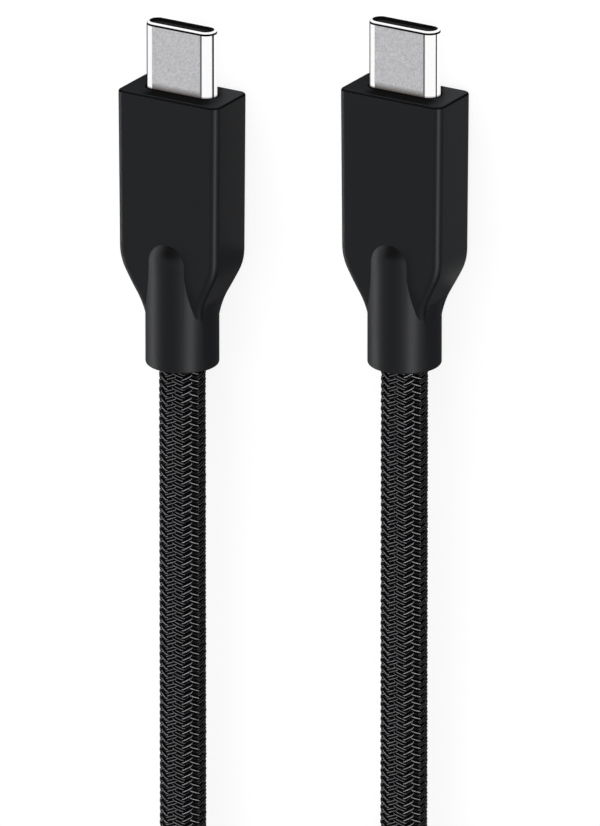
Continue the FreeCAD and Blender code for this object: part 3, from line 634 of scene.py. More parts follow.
def merged_copy(node: Object, name: str) -> Object:
    """Copy a construction node with its triangles joined and its curved faces shaded smooth.

    Args:
        node: The construction node's object.
        name: Name of the copy.

    Returns:
        The copy.
    """
    mesh = bpy.data.meshes.new(name)
    shape = bmesh.new()
    shape.from_mesh(node.data)
    bmesh.ops.remove_doubles(shape, verts=shape.verts, dist=JOIN_REACH)
    flat = math.radians(FLAT_DEGREES)
    bmesh.ops.dissolve_limit(shape, angle_limit=flat, verts=shape.verts, edges=shape.edges)
    for face in shape.faces:
        face.smooth = True
    crease = math.radians(CREASE_DEGREES)
    for edge in shape.edges:
        edge.smooth = len(edge.link_faces) == 2 and edge.calc_face_angle() < crease
    shape.to_mesh(mesh)
    shape.free()
    piece = plain_object(mesh)
    shade_evenly(piece, "FACE_AREA_WITH_ANGLE", 80)
    return piece


@dataclass
class Plug:
    """One plug: shell, moulding and what they hold.

    Attributes:
        side: Which end of the cable it is.
        nodes: All construction nodes, by name.
        finishes: Built materials, by finish name.
        flat_half_mm: Half the width of the shell's flat faces.
        shell_thickness_mm: Thickness over the shell.
        shell_wall_mm: Thickness of its sheet.
        shell_length_mm: Its length, with the part held in the moulding.
        shell_exposed_mm: Its length outside the moulding.
        joint_gap_mm: Width of the black flange round the shell where it leaves the moulding, a painted contact shadow.
        joint_span_mm: How far behind the moulding's front the flange begins and ends.
        joint_stretch: How much taller than the rest the flange is over the shell's flats.
        rim_length_mm: How far behind the tip the rolled rim begins.
        rim_depth_mm: How far the rim rolls in.
        rim_degrees: Angles round the rolled rim at which it has a ring of corners.
        dull_degrees: Angle up to which the rolled rim is black, as a painted dark reflection.
        mouth_share: How deep the mouth's inner edge is cut at its middle, as a share of its size.
        shell_crease_degrees: An edge of the shell sharper than this stays crisp.
        end_steps: Faces round each of its round ends.
        front_edge_mm: Radius of the moulding's front edge.
        edge_facing: How much a face of that edge faces forward, from least to most, to take the darker finish as
            painted shade.
        front_facing: How much a face of the flat front faces forward, at least, to take the shell's painted shadow.
        strip_right_mm: How far right of the shell's middle its painted shadow on the front face is centred.
        coat_from_mm: How far behind the front the painted shade begins on nose and folds.
        nose_forward: How much the nose faces forward where its painted shade sets in and where it is full.
        nose_right: The same for how much it faces right.
        fold_over: How much the folds face up or down at their middle.
        fold_spread: How much more or less they face so at their edges.
        fold_from_mm: How far behind the front the folds' painted shade sets in and is full.
        fold_backward: How much they face back where that painted shade sets in and where it is full.
    """

    side: Side
    nodes: dict[str, Object]
    finishes: dict[str, Material]
    flat_half_mm: float = 2.925
    shell_thickness_mm: float = 2.4
    shell_wall_mm: float = 0.3
    shell_length_mm: float = 9.8
    shell_exposed_mm: float = 7.3
    joint_gap_mm: float = 0.14
    joint_span_mm: Span = (0.01, -0.02)
    joint_stretch: float = 1.15
    rim_length_mm: float = 0.36
    rim_depth_mm: float = 0.27
    rim_degrees: tuple[float, ...] = (0, 9, 18, 27, 35, 44, 53, 62, 71, 80, 90)
    dull_degrees: float = 35
    mouth_share: float = 0.3
    shell_crease_degrees: float = 35
    end_steps: int = 32
    front_edge_mm: float = 0.28
    edge_facing: Span = (0.2, 0.85)
    front_facing: float = 0.99
    strip_right_mm: float = 0.8
    coat_from_mm: float = 12.0
    nose_forward: Span = (0.1, 0.34)
    nose_right: Span = (-0.24, 0.08)
    fold_over: float = 0.3
    fold_spread: float = 0.25
    fold_from_mm: Span = (16.0, 19.0)
    fold_backward: Span = (0.1, 0.3)

    def node(self, piece: str) -> str:
        """The construction node's name of one of this plug's pieces."""
        return f"{self.side.value}_{piece}"

    def dress_inside(self) -> None:
        """Give each inner piece its own finish."""
        inner = {
            "contact_carrier": CARRIER,
            "contacts_upper": GOLD,
            "contacts_lower": GOLD,
            "latch_plate": SPRING_STEEL,
            "ground_spring_upper": SPRING_STEEL,
            "ground_spring_lower": SPRING_STEEL,
            "circuit_card": SOLDER_MASK,
            "control_chip": EPOXY,
            "capacitors": CERAMIC,
            "shield_can_upper": TIN_PLATE,
            "shield_can_lower": TIN_PLATE,
            "power_wires": RED_INSULATION,
            "data_wires": PALE_INSULATION,
            "cord_end": UNDER_BRAID,
            "crimp_ferrule": BRASS,
            "inner_mould": INNER_MOULDING,
        }
        for piece, finish in inner.items():
            node = self.nodes[self.node(piece)]
            node.visible_glossy = False
            node.data.materials.clear()
            node.data.materials.append(self.finishes[finish.name])

    def shell_outline(self, inset: float) -> list[Span]:
        """The shell's outline, inset from its outer wall.

        Args:
            inset: Distance inwards in millimetres.

        Returns:
            Points across and over the plug's axis, in millimetres.
        """
        radius = self.shell_thickness_mm / 2 - inset
        outline = []
        for way in (1, -1):
            for step in range(self.end_steps + 1):
                angle = math.pi / 2 - math.pi * step / self.end_steps
                across = self.flat_half_mm + radius * math.cos(angle)
                outline.append((way * across, way * radius * math.sin(angle)))
        return outline

    def shell_stations(self) -> list[tuple[float, float, Band]]:
        """The shell's section from its held end over the black root flange, a painted contact shadow, and over the
        rim, and back inside.

        Returns:
            Distance behind the tip and inset from the outer wall, in millimetres, with the band
            that follows.
        """
        back, front = (self.shell_exposed_mm + place for place in self.joint_span_mm)
        lip = []
        for degrees in self.rim_degrees:
            angle = math.radians(degrees)
            band = Band.DULL if degrees < self.dull_degrees else Band.BRIGHT
            behind = self.rim_length_mm * (1 - math.sin(angle))
            lip.append((behind, self.rim_depth_mm * (1 - math.cos(angle)), band))
        wall = self.shell_wall_mm
        soft = wall - self.rim_depth_mm
        cut = soft * self.mouth_share
        return [
            (self.shell_length_mm, 0.0, Band.SIDE),
            (back, 0.0, Band.DULL),
            (back, -self.joint_gap_mm, Band.DULL),
            (front, -self.joint_gap_mm, Band.DULL),
            (front, 0.0, Band.SIDE),
            *lip,
            (cut, wall - cut, Band.INSIDE),
            (soft, wall, Band.INSIDE),
            (self.shell_length_mm, wall, Band.INSIDE),
        ]

    def make_shell(self) -> None:
        """Make the shell with blasted flats, polished round ends and a rolled bright rim, black below the rim as a
        painted dark reflection and on the root flange as a painted contact shadow.
        """
        low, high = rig.box(self.node("plug_shell"))
        middle_x = (low[0] + high[0]) / 2
        middle_z = (low[2] + high[2]) / 2
        stations = self.shell_stations()
        corners = []
        for behind, inset, _ in stations:
            stretch = self.joint_stretch if inset < 0 else 1.0
            for across, over in self.shell_outline(inset):
                height = middle_z + over * stretch * MM
                corners.append((middle_x + across * MM, high[1] - behind * MM, height))
        steels = (BLASTED_STEEL, POLISHED_STEEL, DRAWN_STEEL, ROLLED_EDGE)
        flat_side = {Band.SIDE: 0, Band.DULL: 3, Band.BRIGHT: 1, Band.INSIDE: 2}
        round_end = {**flat_side, Band.SIDE: 1}
        count = 2 * (self.end_steps + 1)
        faces = []
        slots = []
        for ring, (_, _, band) in enumerate(stations):
            here = ring * count
            following = (ring + 1) % len(stations) * count
            for place in range(count):
                beside = (place + 1) % count
                faces.append((here + place, following + place, following + beside, here + beside))
                flat = place % (self.end_steps + 1) == self.end_steps
                slots.append(flat_side[band] if flat else round_end[band])
        mesh = outward_mesh(f"{self.side.value}_steel_shell", corners, faces)
        along = mesh.uv_layers.new(name="along")
        root = high[1] - self.shell_exposed_mm * MM
        for loop in mesh.loops:
            along.data[loop.index].uv = (0.0, (mesh.vertices[loop.vertex_index].co.y - root) / MM)
        for steel in steels:
            mesh.materials.append(self.finishes[steel.name])
        for face, slot in zip(mesh.polygons, slots):
            face.material_index = slot
        mesh.set_sharp_from_angle(angle=math.radians(self.shell_crease_degrees))
        piece = plain_object(mesh)
        shade_evenly(piece)
        settle(piece, "plug_steel", self.node("plug_shell"))

    def coat_gathered(self, behind: float, facing: Vector) -> float:
        """Say how much painted shade a place takes: on the dome's nose and down the folds.

        Args:
            behind: Distance behind the moulding's front in millimetres.
            facing: Direction that the surface faces there.

        Returns:
            0 for none to 1 for the darkest painted shade.
        """
        if behind < self.coat_from_mm:
            return 0.0
        nose = ramp(facing.y, *self.nose_forward) * ramp(facing.x, *self.nose_right)
        fold = max(0.0, 1 - abs(abs(facing.z) - self.fold_over) / self.fold_spread)
        return max(nose, fold * ramp(behind, *self.fold_from_mm) * ramp(-facing.y, *self.fold_backward))

    def make_moulding(self) -> None:
        """Make the soft-touch moulding, with maps of where it takes painted shade and the shell's painted shadow."""
        piece = merged_copy(self.nodes[self.node("overmould")], f"{self.side.value}_moulding")
        mesh = piece.data
        for coating in (SOFT_TOUCH, COATED_EDGE):
            mesh.materials.append(self.finishes[coating.name])
        low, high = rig.box(self.node("overmould"))
        middle_x = (low[0] + high[0]) / 2
        middle_z = (low[2] + high[2]) / 2
        # Maps of the painted shade: one for the nose and folds, and one across the flat front for the shell's painted
        # shadow
        coat = mesh.uv_layers.new(name="coat")
        front = mesh.uv_layers.new(name="front", do_init=False)
        least, most = self.edge_facing
        # Faces along the front edge take the darker finish as painted shade; flat front faces get a map for the
        # shell's painted shadow
        for face in mesh.polygons:
            on_edge = face.center.y > high[1] - self.front_edge_mm * MM
            face.material_index = int(on_edge and least < face.normal.y < most)
            if on_edge and face.normal.y > self.front_facing:
                for corner in face.loop_indices:
                    place = mesh.vertices[mesh.loops[corner].vertex_index].co
                    across = (place.x - middle_x) / MM - self.strip_right_mm
                    front.data[corner].uv = (across, (place.z - middle_z) / MM)
        # How much painted shade each corner takes on the nose and down the folds
        for loop, corner in zip(mesh.loops, mesh.corner_normals):
            behind = high[1] - mesh.vertices[loop.vertex_index].co.y
            coat.data[loop.index].uv = (self.coat_gathered(behind / MM, corner.vector), 0.0)
        settle(piece, "soft_touch_black", self.node("overmould"))

    def build(self) -> None:
        """Dress the whole plug."""
        self.dress_inside()
        self.make_shell()
        self.make_moulding()


@dataclass
class Coil:
    """The coil of the length that is put away: two layers that spiral in and out again.

    Attributes:
        turns: Turns from one lead to the other.
        radius_mm: Radius of the outermost turn's middle line.
        pitch_mm: Distance between neighbouring turns and between the layers.
        centre_y_mm: Where the coil's middle lies along the plugs.
        low_layer_mm: Height of the lower layer's middle line.
        entry_drop_mm: How far the cord comes down as it enters the lower layer.
        exit_drop_mm: How far it comes down as it leaves the upper layer.
        straight_end_mm: Length of the straight piece at each end.
        spans: Spans of equal length; each end takes one, and the climb takes two.
        points_per_turn: Points of the middle line in one turn.
    """

    turns: float = 4.7
    radius_mm: float = 28.2
    pitch_mm: float = 5.25
    centre_y_mm: float = -112.6
    low_layer_mm: float = 3.15
    entry_drop_mm: float = 0.35
    exit_drop_mm: float = 1.2
    straight_end_mm: float = 4.8
    spans: int = 20
    points_per_turn: int = 24

    def height(self, turn: float) -> float:
        """Height of the middle line.

        Args:
            turn: Turns from the coil's start.

        Returns:
            Height above the table in millimetres.
        """
        step = self.turns / self.spans
        if turn < step:
            return self.low_layer_mm + self.entry_drop_mm * (1 - turn / step) ** 2
        if turn > self.turns - step:
            high = self.low_layer_mm + self.pitch_mm
            return high - self.exit_drop_mm * ((turn - self.turns + step) / step) ** 2
        climb = min(max((turn - self.turns / 2) / step, -1.0), 1.0)
        share = (1 + climb) ** 2 if climb < 0 else 2 - (1 - climb) ** 2
        return self.low_layer_mm + self.pitch_mm / 2 * share

    def point(self, turn: float) -> Vector:
        """A point of the middle line.

        Args:
            turn: Turns from the coil's start.

        Returns:
            The point in millimetres.
        """
        half = self.turns / 2
        radius = self.radius_mm - self.pitch_mm * (half - abs(turn - half))
        angle = math.pi / 2 + math.pi * (1 - self.turns % 1) + 2 * math.pi * turn
        along = self.centre_y_mm + radius * math.sin(angle)
        return Vector((radius * math.cos(angle), along, self.height(turn)))

    def way(self, turn: float) -> Vector:
        """The direction of the middle line.

        Args:
            turn: Turns from the coil's start.

        Returns:
            The direction, of length 1.
        """
        small = 1e-4
        before = self.point(max(turn - small, 0.0))
        after = self.point(min(turn + small, self.turns))
        return (after - before).normalized()

    def points(self) -> list[Vector]:
        """All points of the coil from its first straight end to its last.

        Returns:
            The points in millimetres.
        """
        count = math.ceil(self.turns * self.points_per_turn)
        inner = [self.point(self.turns * index / count) for index in range(count + 1)]
        first = inner[0] - self.way(0.0) * self.straight_end_mm
        last = inner[-1] + self.way(self.turns) * self.straight_end_mm
        return [first, *inner, last]


@dataclass
class Braid:
    """The braid's yarns: columns of short slanting floats that pass over and under each other.

    Attributes:
        finishes: Built materials, by finish name.
        columns: Columns of floats round the cord.
        pitch_mm: Distance along the cord from one float of a column to the next.
        outer_mm: Radius over the proudest yarns.
        single_width_mm: Width of a yarn that lies alone.
        paired_width_mm: Width of each of two yarns side by side.
        paired_gap_mm: Distance between the middles of two yarns side by side.
        paired_sunk_mm: How much deeper the second of them lies.
        paired_worn: How bright its painted crest highlight is, as a share of the first one's.
        low_yarn_mm: How deep the lower yarn lies beside a yarn that lies alone.
        low_width_mm: Width of that lower yarn.
        yarn_height_mm: Height of a yarn over its own edges.
        yarn_degrees: How far a yarn's section bends down on each side.
        overlap: How far a float runs on under its neighbours, as a share of the column.
        dip_mm: How deep a float's tips dive.
        dip_power: How late along the float they dive.
        slip: How far paired yarns are set off along each other, as a share of the column.
        worn: How bright the painted crest highlights of eight neighbouring columns are; it repeats once.
        low_worn: The same for the lower yarn beside a yarn that lies alone.
        turned_from: Column from which the order runs the other way round the right lead.
        wander: How much a yarn's radius may differ, as a share.
        seed: Seed of everything random in the braid.
        lead_faces: Faces along and across a yarn on the leads.
        coil_faces: Faces along and across a yarn on the coil.
        coil_stretches: Stretches that the coil's braid is made in.
        lead_turns: Turn of the braid about the left and the right lead in degrees.
        start_share: Where the first floats lie, as a share of the pitch.
    """

    finishes: dict[str, Material]
    columns: int = 16
    pitch_mm: float = 0.827
    outer_mm: float = 2.52
    single_width_mm: float = 0.43
    paired_width_mm: float = 0.36
    paired_gap_mm: float = 0.35
    paired_sunk_mm: float = 0.02
    paired_worn: float = 0.8
    low_yarn_mm: float = 0.2
    low_width_mm: float = 0.36
    yarn_height_mm: float = 0.2
    yarn_degrees: float = 82.0
    overlap: float = 0.3
    dip_mm: float = 0.24
    dip_power: int = 5
    slip: float = 0.16
    worn: tuple[float, ...] = (0.45, 0.2, 0.2, 1.0, 1.0, 0.62, 0.62, 0.72)
    low_worn: float = 0.06
    turned_from: int = 12
    wander: float = 0.006
    seed: int = 7
    lead_faces: tuple[int, int] = (6, 4)
    coil_faces: tuple[int, int] = (4, 3)
    coil_stretches: int = 4
    lead_turns: Span = (-36.5, -31.0)
    start_share: float = 0.25

    def float_yarns(self, column: int, turned: bool) -> list[tuple[float, ...]]:
        """Say which yarns lie side by side in the floats of a column.

        Args:
            column: The column's number.
            turned: Whether the order of the columns runs the other way round the cord.

        Returns:
            For each yarn its place across, its width, how deep it lies, its slip along and how
            bright the painted highlight on its crest is.
        """
        kind = (self.turned_from - column if turned else column) % len(self.worn)
        worn = self.worn[kind]
        if kind % 4 in (0, 3):
            return [
                (0.0, self.single_width_mm, 0.0, 0.0, worn),
                (self.pitch_mm / 2, self.low_width_mm, self.low_yarn_mm, 0.0, self.low_worn),
            ]
        half = self.paired_gap_mm / 2
        slip = self.slip if column % 2 == 0 else -self.slip
        return [
            (half, self.paired_width_mm, 0.0, -slip, worn),
            (-half, self.paired_width_mm, self.paired_sunk_mm, slip, worn * self.paired_worn),
        ]

    def make_ring(self, name: str, sides: tuple[int, int], turned: bool = False) -> Object:
        """Make the floats of one pitch round a straight cord along Z.

        Args:
            name: The ring's name.
            sides: Faces along and across a yarn.
            turned: Whether the order of the columns runs the other way round the cord.

        Returns:
            The ring, which stays out of the finished model.
        """
        along, across = sides
        step = 2 * math.pi / self.columns
        slope = self.pitch_mm / (2 * step * self.outer_mm)
        corners = []
        faces = []
        fibre = []
        for column in range(self.columns):
            way = 1 if column % 2 == 0 else -1
            stagger = self.pitch_mm / 2 * (column % 2)
            for shift, width, sunk, slip, worn in self.float_yarns(column, turned):
                first = len(corners)
                for i in range(along + 1):
                    u = 2 * i / along - 1
                    reach = (u + slip) * step / 2 * (1 + self.overlap)
                    taut = self.outer_mm * math.cos(step / 2) / math.cos(reach)
                    crest = taut - sunk - self.dip_mm * abs(u) ** self.dip_power
                    angle = (column + 0.5) * step + reach
                    rise = way * reach * self.outer_mm * slope
                    for j in range(across + 1):
                        lean = math.radians(self.yarn_degrees) * (2 * j / across - 1)
                        radius = (crest - self.yarn_height_mm * (1 - math.cos(lean))) * MM
                        height = (stagger + shift + rise + width / 2 * math.sin(lean)) * MM
                        corners.append((radius * math.sin(angle), radius * math.cos(angle), height))
                        # The map carries how bright the painted crest highlight is, and the place across the yarn
                        fibre.append((worn, j / across))
                for i in range(along):
                    for j in range(across):
                        low = first + i * (across + 1) + j
                        high = low + across + 1
                        faces.append((low, low + 1, high + 1, high))
        mesh = bpy.data.meshes.new(name)
        mesh.from_pydata(corners, [], faces)
        layer = mesh.uv_layers.new(name="fibre")
        for loop in mesh.loops:
            layer.data[loop.index].uv = fibre[loop.vertex_index]
        mesh.shade_smooth()
        return plain_object(mesh)

    def make_tree(self) -> Tree:
        """Make the node tree that lays rings of floats along a path.

        Returns:
            The geometry node tree.
        """
        tree = bpy.data.node_groups.new("braid_along_path", "GeometryNodeTree")
        inputs = {
            "Path": "Object",
            "Ring": "Object",
            "Start": "Float",
            "Pitch": "Float",
            "Rings": "Int",
            "Turn": "Float",
            "Twist": "Float",
            "Wander": "Float",
            "Seed": "Int",
            "Yarn": "Material",
        }
        for name, kind in inputs.items():
            tree.interface.new_socket(name, in_out="INPUT", socket_type=f"NodeSocket{kind}")
        tree.interface.new_socket("Geometry", in_out="OUTPUT", socket_type="NodeSocketGeometry")
        given = add_node(tree, "NodeGroupInput")
        given_path = {"Object": given["Path"]}
        path = add_node(tree, "GeometryNodeObjectInfo", given_path, transform_space="RELATIVE")
        ring = add_node(tree, "GeometryNodeObjectInfo", {"Object": given["Ring"]})

        # Rings stacked along Z, each turned by where it lies
        first = add_node(tree, JOIN, {"Z": given["Start"]})[0]
        step = add_node(tree, JOIN, {"Z": given["Pitch"]})[0]
        row = {"Count": given["Rings"], "Start Location": first, "Offset": step}
        line = add_node(tree, "GeometryNodeMeshLine", row, mode="OFFSET")["Mesh"]
        along = add_node(tree, SPLIT, {0: add_node(tree, PLACE)[0]})["Z"]
        turn_by = {0: along, 1: given["Twist"], 2: given["Turn"]}
        turn = add_node(tree, MATH, turn_by, operation="MULTIPLY_ADD")[0]
        turned = add_node(tree, JOIN, {"Z": turn})[0]
        stack = {"Points": line, "Instance": ring["Geometry"], "Rotation": turned}
        rings = add_node(tree, "GeometryNodeInstanceOnPoints", stack)["Instances"]
        straight = add_node(tree, "GeometryNodeRealizeInstances", {"Geometry": rings})[0]

        # Each corner goes to its distance along the path, out to its side and over it
        parts = add_node(tree, SPLIT, {0: add_node(tree, PLACE)[0]})
        sample = {"Curves": path["Geometry"], "Length": parts["Z"]}
        middle = add_node(tree, "GeometryNodeSampleCurve", sample, mode="LENGTH")
        ahead = middle["Tangent"]
        level = add_node(tree, VECTOR, {0: ahead, 1: (0.0, 0.0, 1.0)}, operation="CROSS_PRODUCT")[0]
        side = add_node(tree, VECTOR, {0: level}, operation="NORMALIZE")[0]
        over = add_node(tree, VECTOR, {0: side, 1: ahead}, operation="CROSS_PRODUCT")[0]
        sideways = add_node(tree, VECTOR, {0: side, "Scale": parts["X"]}, operation="SCALE")[0]
        upward = add_node(tree, VECTOR, {0: over, "Scale": parts["Y"]}, operation="SCALE")[0]
        outward = add_node(tree, VECTOR, {0: sideways, 1: upward}, operation="ADD")[0]

        # Each yarn lies a little nearer or further out
        yarn = add_node(tree, "GeometryNodeInputMeshIsland")["Island Index"]
        least = add_node(tree, MATH, {0: 1.0, 1: given["Wander"]}, operation="SUBTRACT")[0]
        most = add_node(tree, MATH, {0: 1.0, 1: given["Wander"]}, operation="ADD")[0]
        limits = {2: least, 3: most, "ID": yarn, "Seed": given["Seed"]}
        lift = add_node(tree, "FunctionNodeRandomValue", limits, data_type="FLOAT")[1]
        lifted = add_node(tree, VECTOR, {0: outward, "Scale": lift}, operation="SCALE")[0]
        laid = add_node(tree, VECTOR, {0: middle["Position"], 1: lifted}, operation="ADD")[0]
        wound = add_node(tree, "GeometryNodeSetPosition", {"Geometry": straight, "Position": laid})[0]
        dress = {"Geometry": wound, "Material": given["Yarn"]}
        add_node(tree, "NodeGroupOutput", {0: add_node(tree, "GeometryNodeSetMaterial", dress)[0]})
        return tree

    def lay(self, name: str, tree: Tree, values: dict[str, object]) -> Object:
        """Lay one stretch of braid and turn it into a plain mesh.

        Args:
            name: The piece's name.
            tree: The tree from make_tree.
            values: The tree's inputs, by name.

        Returns:
            The finished stretch.
        """
        carrier = plain_object(bpy.data.meshes.new(f"{name}_carrier"))
        modifier = carrier.modifiers.new("braid", "NODES")
        modifier.node_group = tree
        for item in tree.interface.items_tree:
            if item.item_type == "SOCKET" and item.in_out == "INPUT" and item.name in values:
                modifier[item.identifier] = values[item.name]
        bpy.context.view_layer.update()
        seen = carrier.evaluated_get(bpy.context.evaluated_depsgraph_get())
        mesh = bpy.data.meshes.new_from_object(seen)
        mesh.name = name
        bpy.data.objects.remove(carrier)
        return settle(plain_object(mesh), "braid")

    def build(self, path: Object, length: float, ends: Span) -> list[Object]:
        """Braid the whole cord in stretches.

        Args:
            path: The line that the cord follows, without thickness.
            length: Its length in metres.
            ends: Lengths of the left and right lead in metres.

        Returns:
            The stretches from the left collar to the right one.
        """
        tree = self.make_tree()
        left_ring = self.make_ring("left_ring", self.lead_faces)
        right_ring = self.make_ring("right_ring", self.lead_faces, turned=True)
        plain_ring = self.make_ring("plain_ring", self.coil_faces)
        total = round(length / (self.pitch_mm * MM))
        pitch = length / total
        start = round(ends[0] / pitch)
        end = total - round(ends[1] / pitch)
        left_turn, right_turn = (math.radians(degrees) for degrees in self.lead_turns)
        twist = (right_turn - left_turn) / ((end - start) * pitch)
        coil_turn = left_turn - twist * start * pitch
        parts = self.coil_stretches
        cuts = [start + round((end - start) * part / parts) for part in range(parts + 1)]
        stretches = [("left_braid", left_ring, 0, start, left_turn, 0.0)]
        for number, (first, last) in enumerate(zip(cuts, cuts[1:]), 1):
            stretches.append((f"coil_braid_{number}", plain_ring, first, last, coil_turn, twist))
        stretches.append(("right_braid", right_ring, end, total, right_turn, 0.0))
        pieces = []
        for number, (name, ring, first, last, turn, twist_here) in enumerate(stretches):
            values = {
                "Path": path,
                "Ring": ring,
                "Start": (first + self.start_share) * pitch,
                "Pitch": pitch,
                "Rings": last - first,
                "Turn": turn,
                "Twist": twist_here,
                "Wander": self.wander,
                "Seed": self.seed + number,
                "Yarn": self.finishes[YARN.name],
            }
            pieces.append(self.lay(name, tree, values))
        for ring in (left_ring, right_ring, plain_ring):
            bpy.data.objects.remove(ring)
        return pieces


@dataclass
class Strap:
    """The hook and loop strap that keeps the coil: once round its four turns and over its own end.

    Attributes:
        finishes: Built materials, by finish name.
        turns_mm: Middles of the turns that it holds, along Y and Z, in the order of its way round.
        turn_radius_mm: Radius of one turn of cord.
        thick_mm: Thickness of the strap.
        wide_mm: Its width.
        tip_mm: Length over which the outer end is cut round.
        tip_least: Width of the tip's end, as a share of the strap's, squared.
        inner_end_mm: Where the inner end lies, from the last turn that it holds.
        inner_points: Points of its line on the inner end.
        inner_step_mm: Distance between them.
        corner_steps: Straight pieces round each turn that it holds, and up onto the inner end.
        lap_steps: Straight pieces from there to the first turn.
        tip_steps: Straight pieces that bend down round the first turn at the outer end.
        lap_lift: How much higher the outer end lies, as a share of the thickness.
        lap_run_mm: Length over which the outer end climbs onto the inner end.
        tip_bend_degrees: How far each of these bends down.
    """

    finishes: dict[str, Material]
    turns_mm: tuple[Span, ...] = ((-88.9, 8.4), (-88.9, 3.15), (-94.1, 3.15), (-94.1, 8.4))
    turn_radius_mm: float = 2.53
    thick_mm: float = 0.6
    wide_mm: float = 8.0
    tip_mm: float = 3.0
    tip_least: float = 0.04
    inner_end_mm: float = 0.9
    inner_points: int = 5
    inner_step_mm: float = 0.8
    corner_steps: int = 8
    lap_steps: int = 7
    tip_steps: int = 6
    lap_lift: float = 1.05
    lap_run_mm: float = 1.1
    tip_bend_degrees: float = 7.0

    def way_round(self) -> list[tuple[Vector, Vector]]:
        """The strap's middle line with the direction that it faces outwards.

        Returns:
            Points along Y and Z in millimetres, each with its outward direction.
        """
        reach = self.turn_radius_mm + self.thick_mm / 2
        lift = self.thick_mm * self.lap_lift
        top = self.turns_mm[0][1] + reach
        first, last = self.turns_mm[0][0], self.turns_mm[-1][0]
        up = Vector((0.0, 1.0))
        inner_end = last + self.inner_end_mm
        inner = range(self.inner_points)
        line = [(Vector((inner_end + step * self.inner_step_mm, top)), up) for step in inner]
        steps = self.corner_steps
        for corner, turn in enumerate(self.turns_mm):
            for step in range(steps + 1):
                angle = math.pi / 2 * (1 - corner - step / steps)
                out = Vector((math.cos(angle), math.sin(angle)))
                line.append((Vector(turn) + out * reach, out))
        for step in range(1, steps + 1):
            rise = lift * ramp(step, 0, steps)
            line.append((Vector((last + self.lap_run_mm * step / steps, top + rise)), up))
        lapped = last + self.lap_run_mm
        for step in range(1, self.lap_steps + 1):
            along = lapped + (first - lapped) * step / self.lap_steps
            line.append((Vector((along, top + lift)), up))
        for step in range(1, self.tip_steps + 1):
            angle = math.radians(90 - self.tip_bend_degrees * step)
            out = Vector((math.cos(angle), math.sin(angle)))
            line.append((Vector(self.turns_mm[0]) + out * (reach + lift), out))
        return line

    def build(self) -> Object:
        """Make the strap.

        Returns:
            The finished strap.
        """
        section = [(-1, 0), (-0.99, 0.6), (-0.96, 0.92), (-0.9, 1)]
        section += [(0, 1), (0.9, 1), (0.96, 0.92), (0.99, 0.6)]
        section += [(-across, -out) for across, out in section]
        line = self.way_round()
        lengths = [0.0]
        for (before, _), (after, _) in zip(line, line[1:]):
            lengths.append(lengths[-1] + (after - before).length)
        corners = []
        for (place, out), length in zip(line, lengths):
            left = max(0.0, 1 - (lengths[-1] - length) / self.tip_mm)
            half_wide = self.wide_mm / 2 * math.sqrt(max(self.tip_least, 1 - left * left))
            for across, over in section:
                spot = place + out * over * self.thick_mm / 2
                corners.append((across * half_wide * MM, spot.x * MM, spot.y * MM))
        count = len(section)
        faces = [tuple(range(count)), tuple(range(len(corners) - count, len(corners)))]
        for ring in range(len(line) - 1):
            for place in range(count):
                low = ring * count + place
                beside = ring * count + (place + 1) % count
                faces.append((low, beside, beside + count, low + count))
        mesh = outward_mesh("coil_strap", corners, faces)
        mesh.materials.append(self.finishes[STRAP.name])
        piece = plain_object(mesh)
        shade_evenly(piece)
        return settle(piece, "tie_strap", "coil_tie")


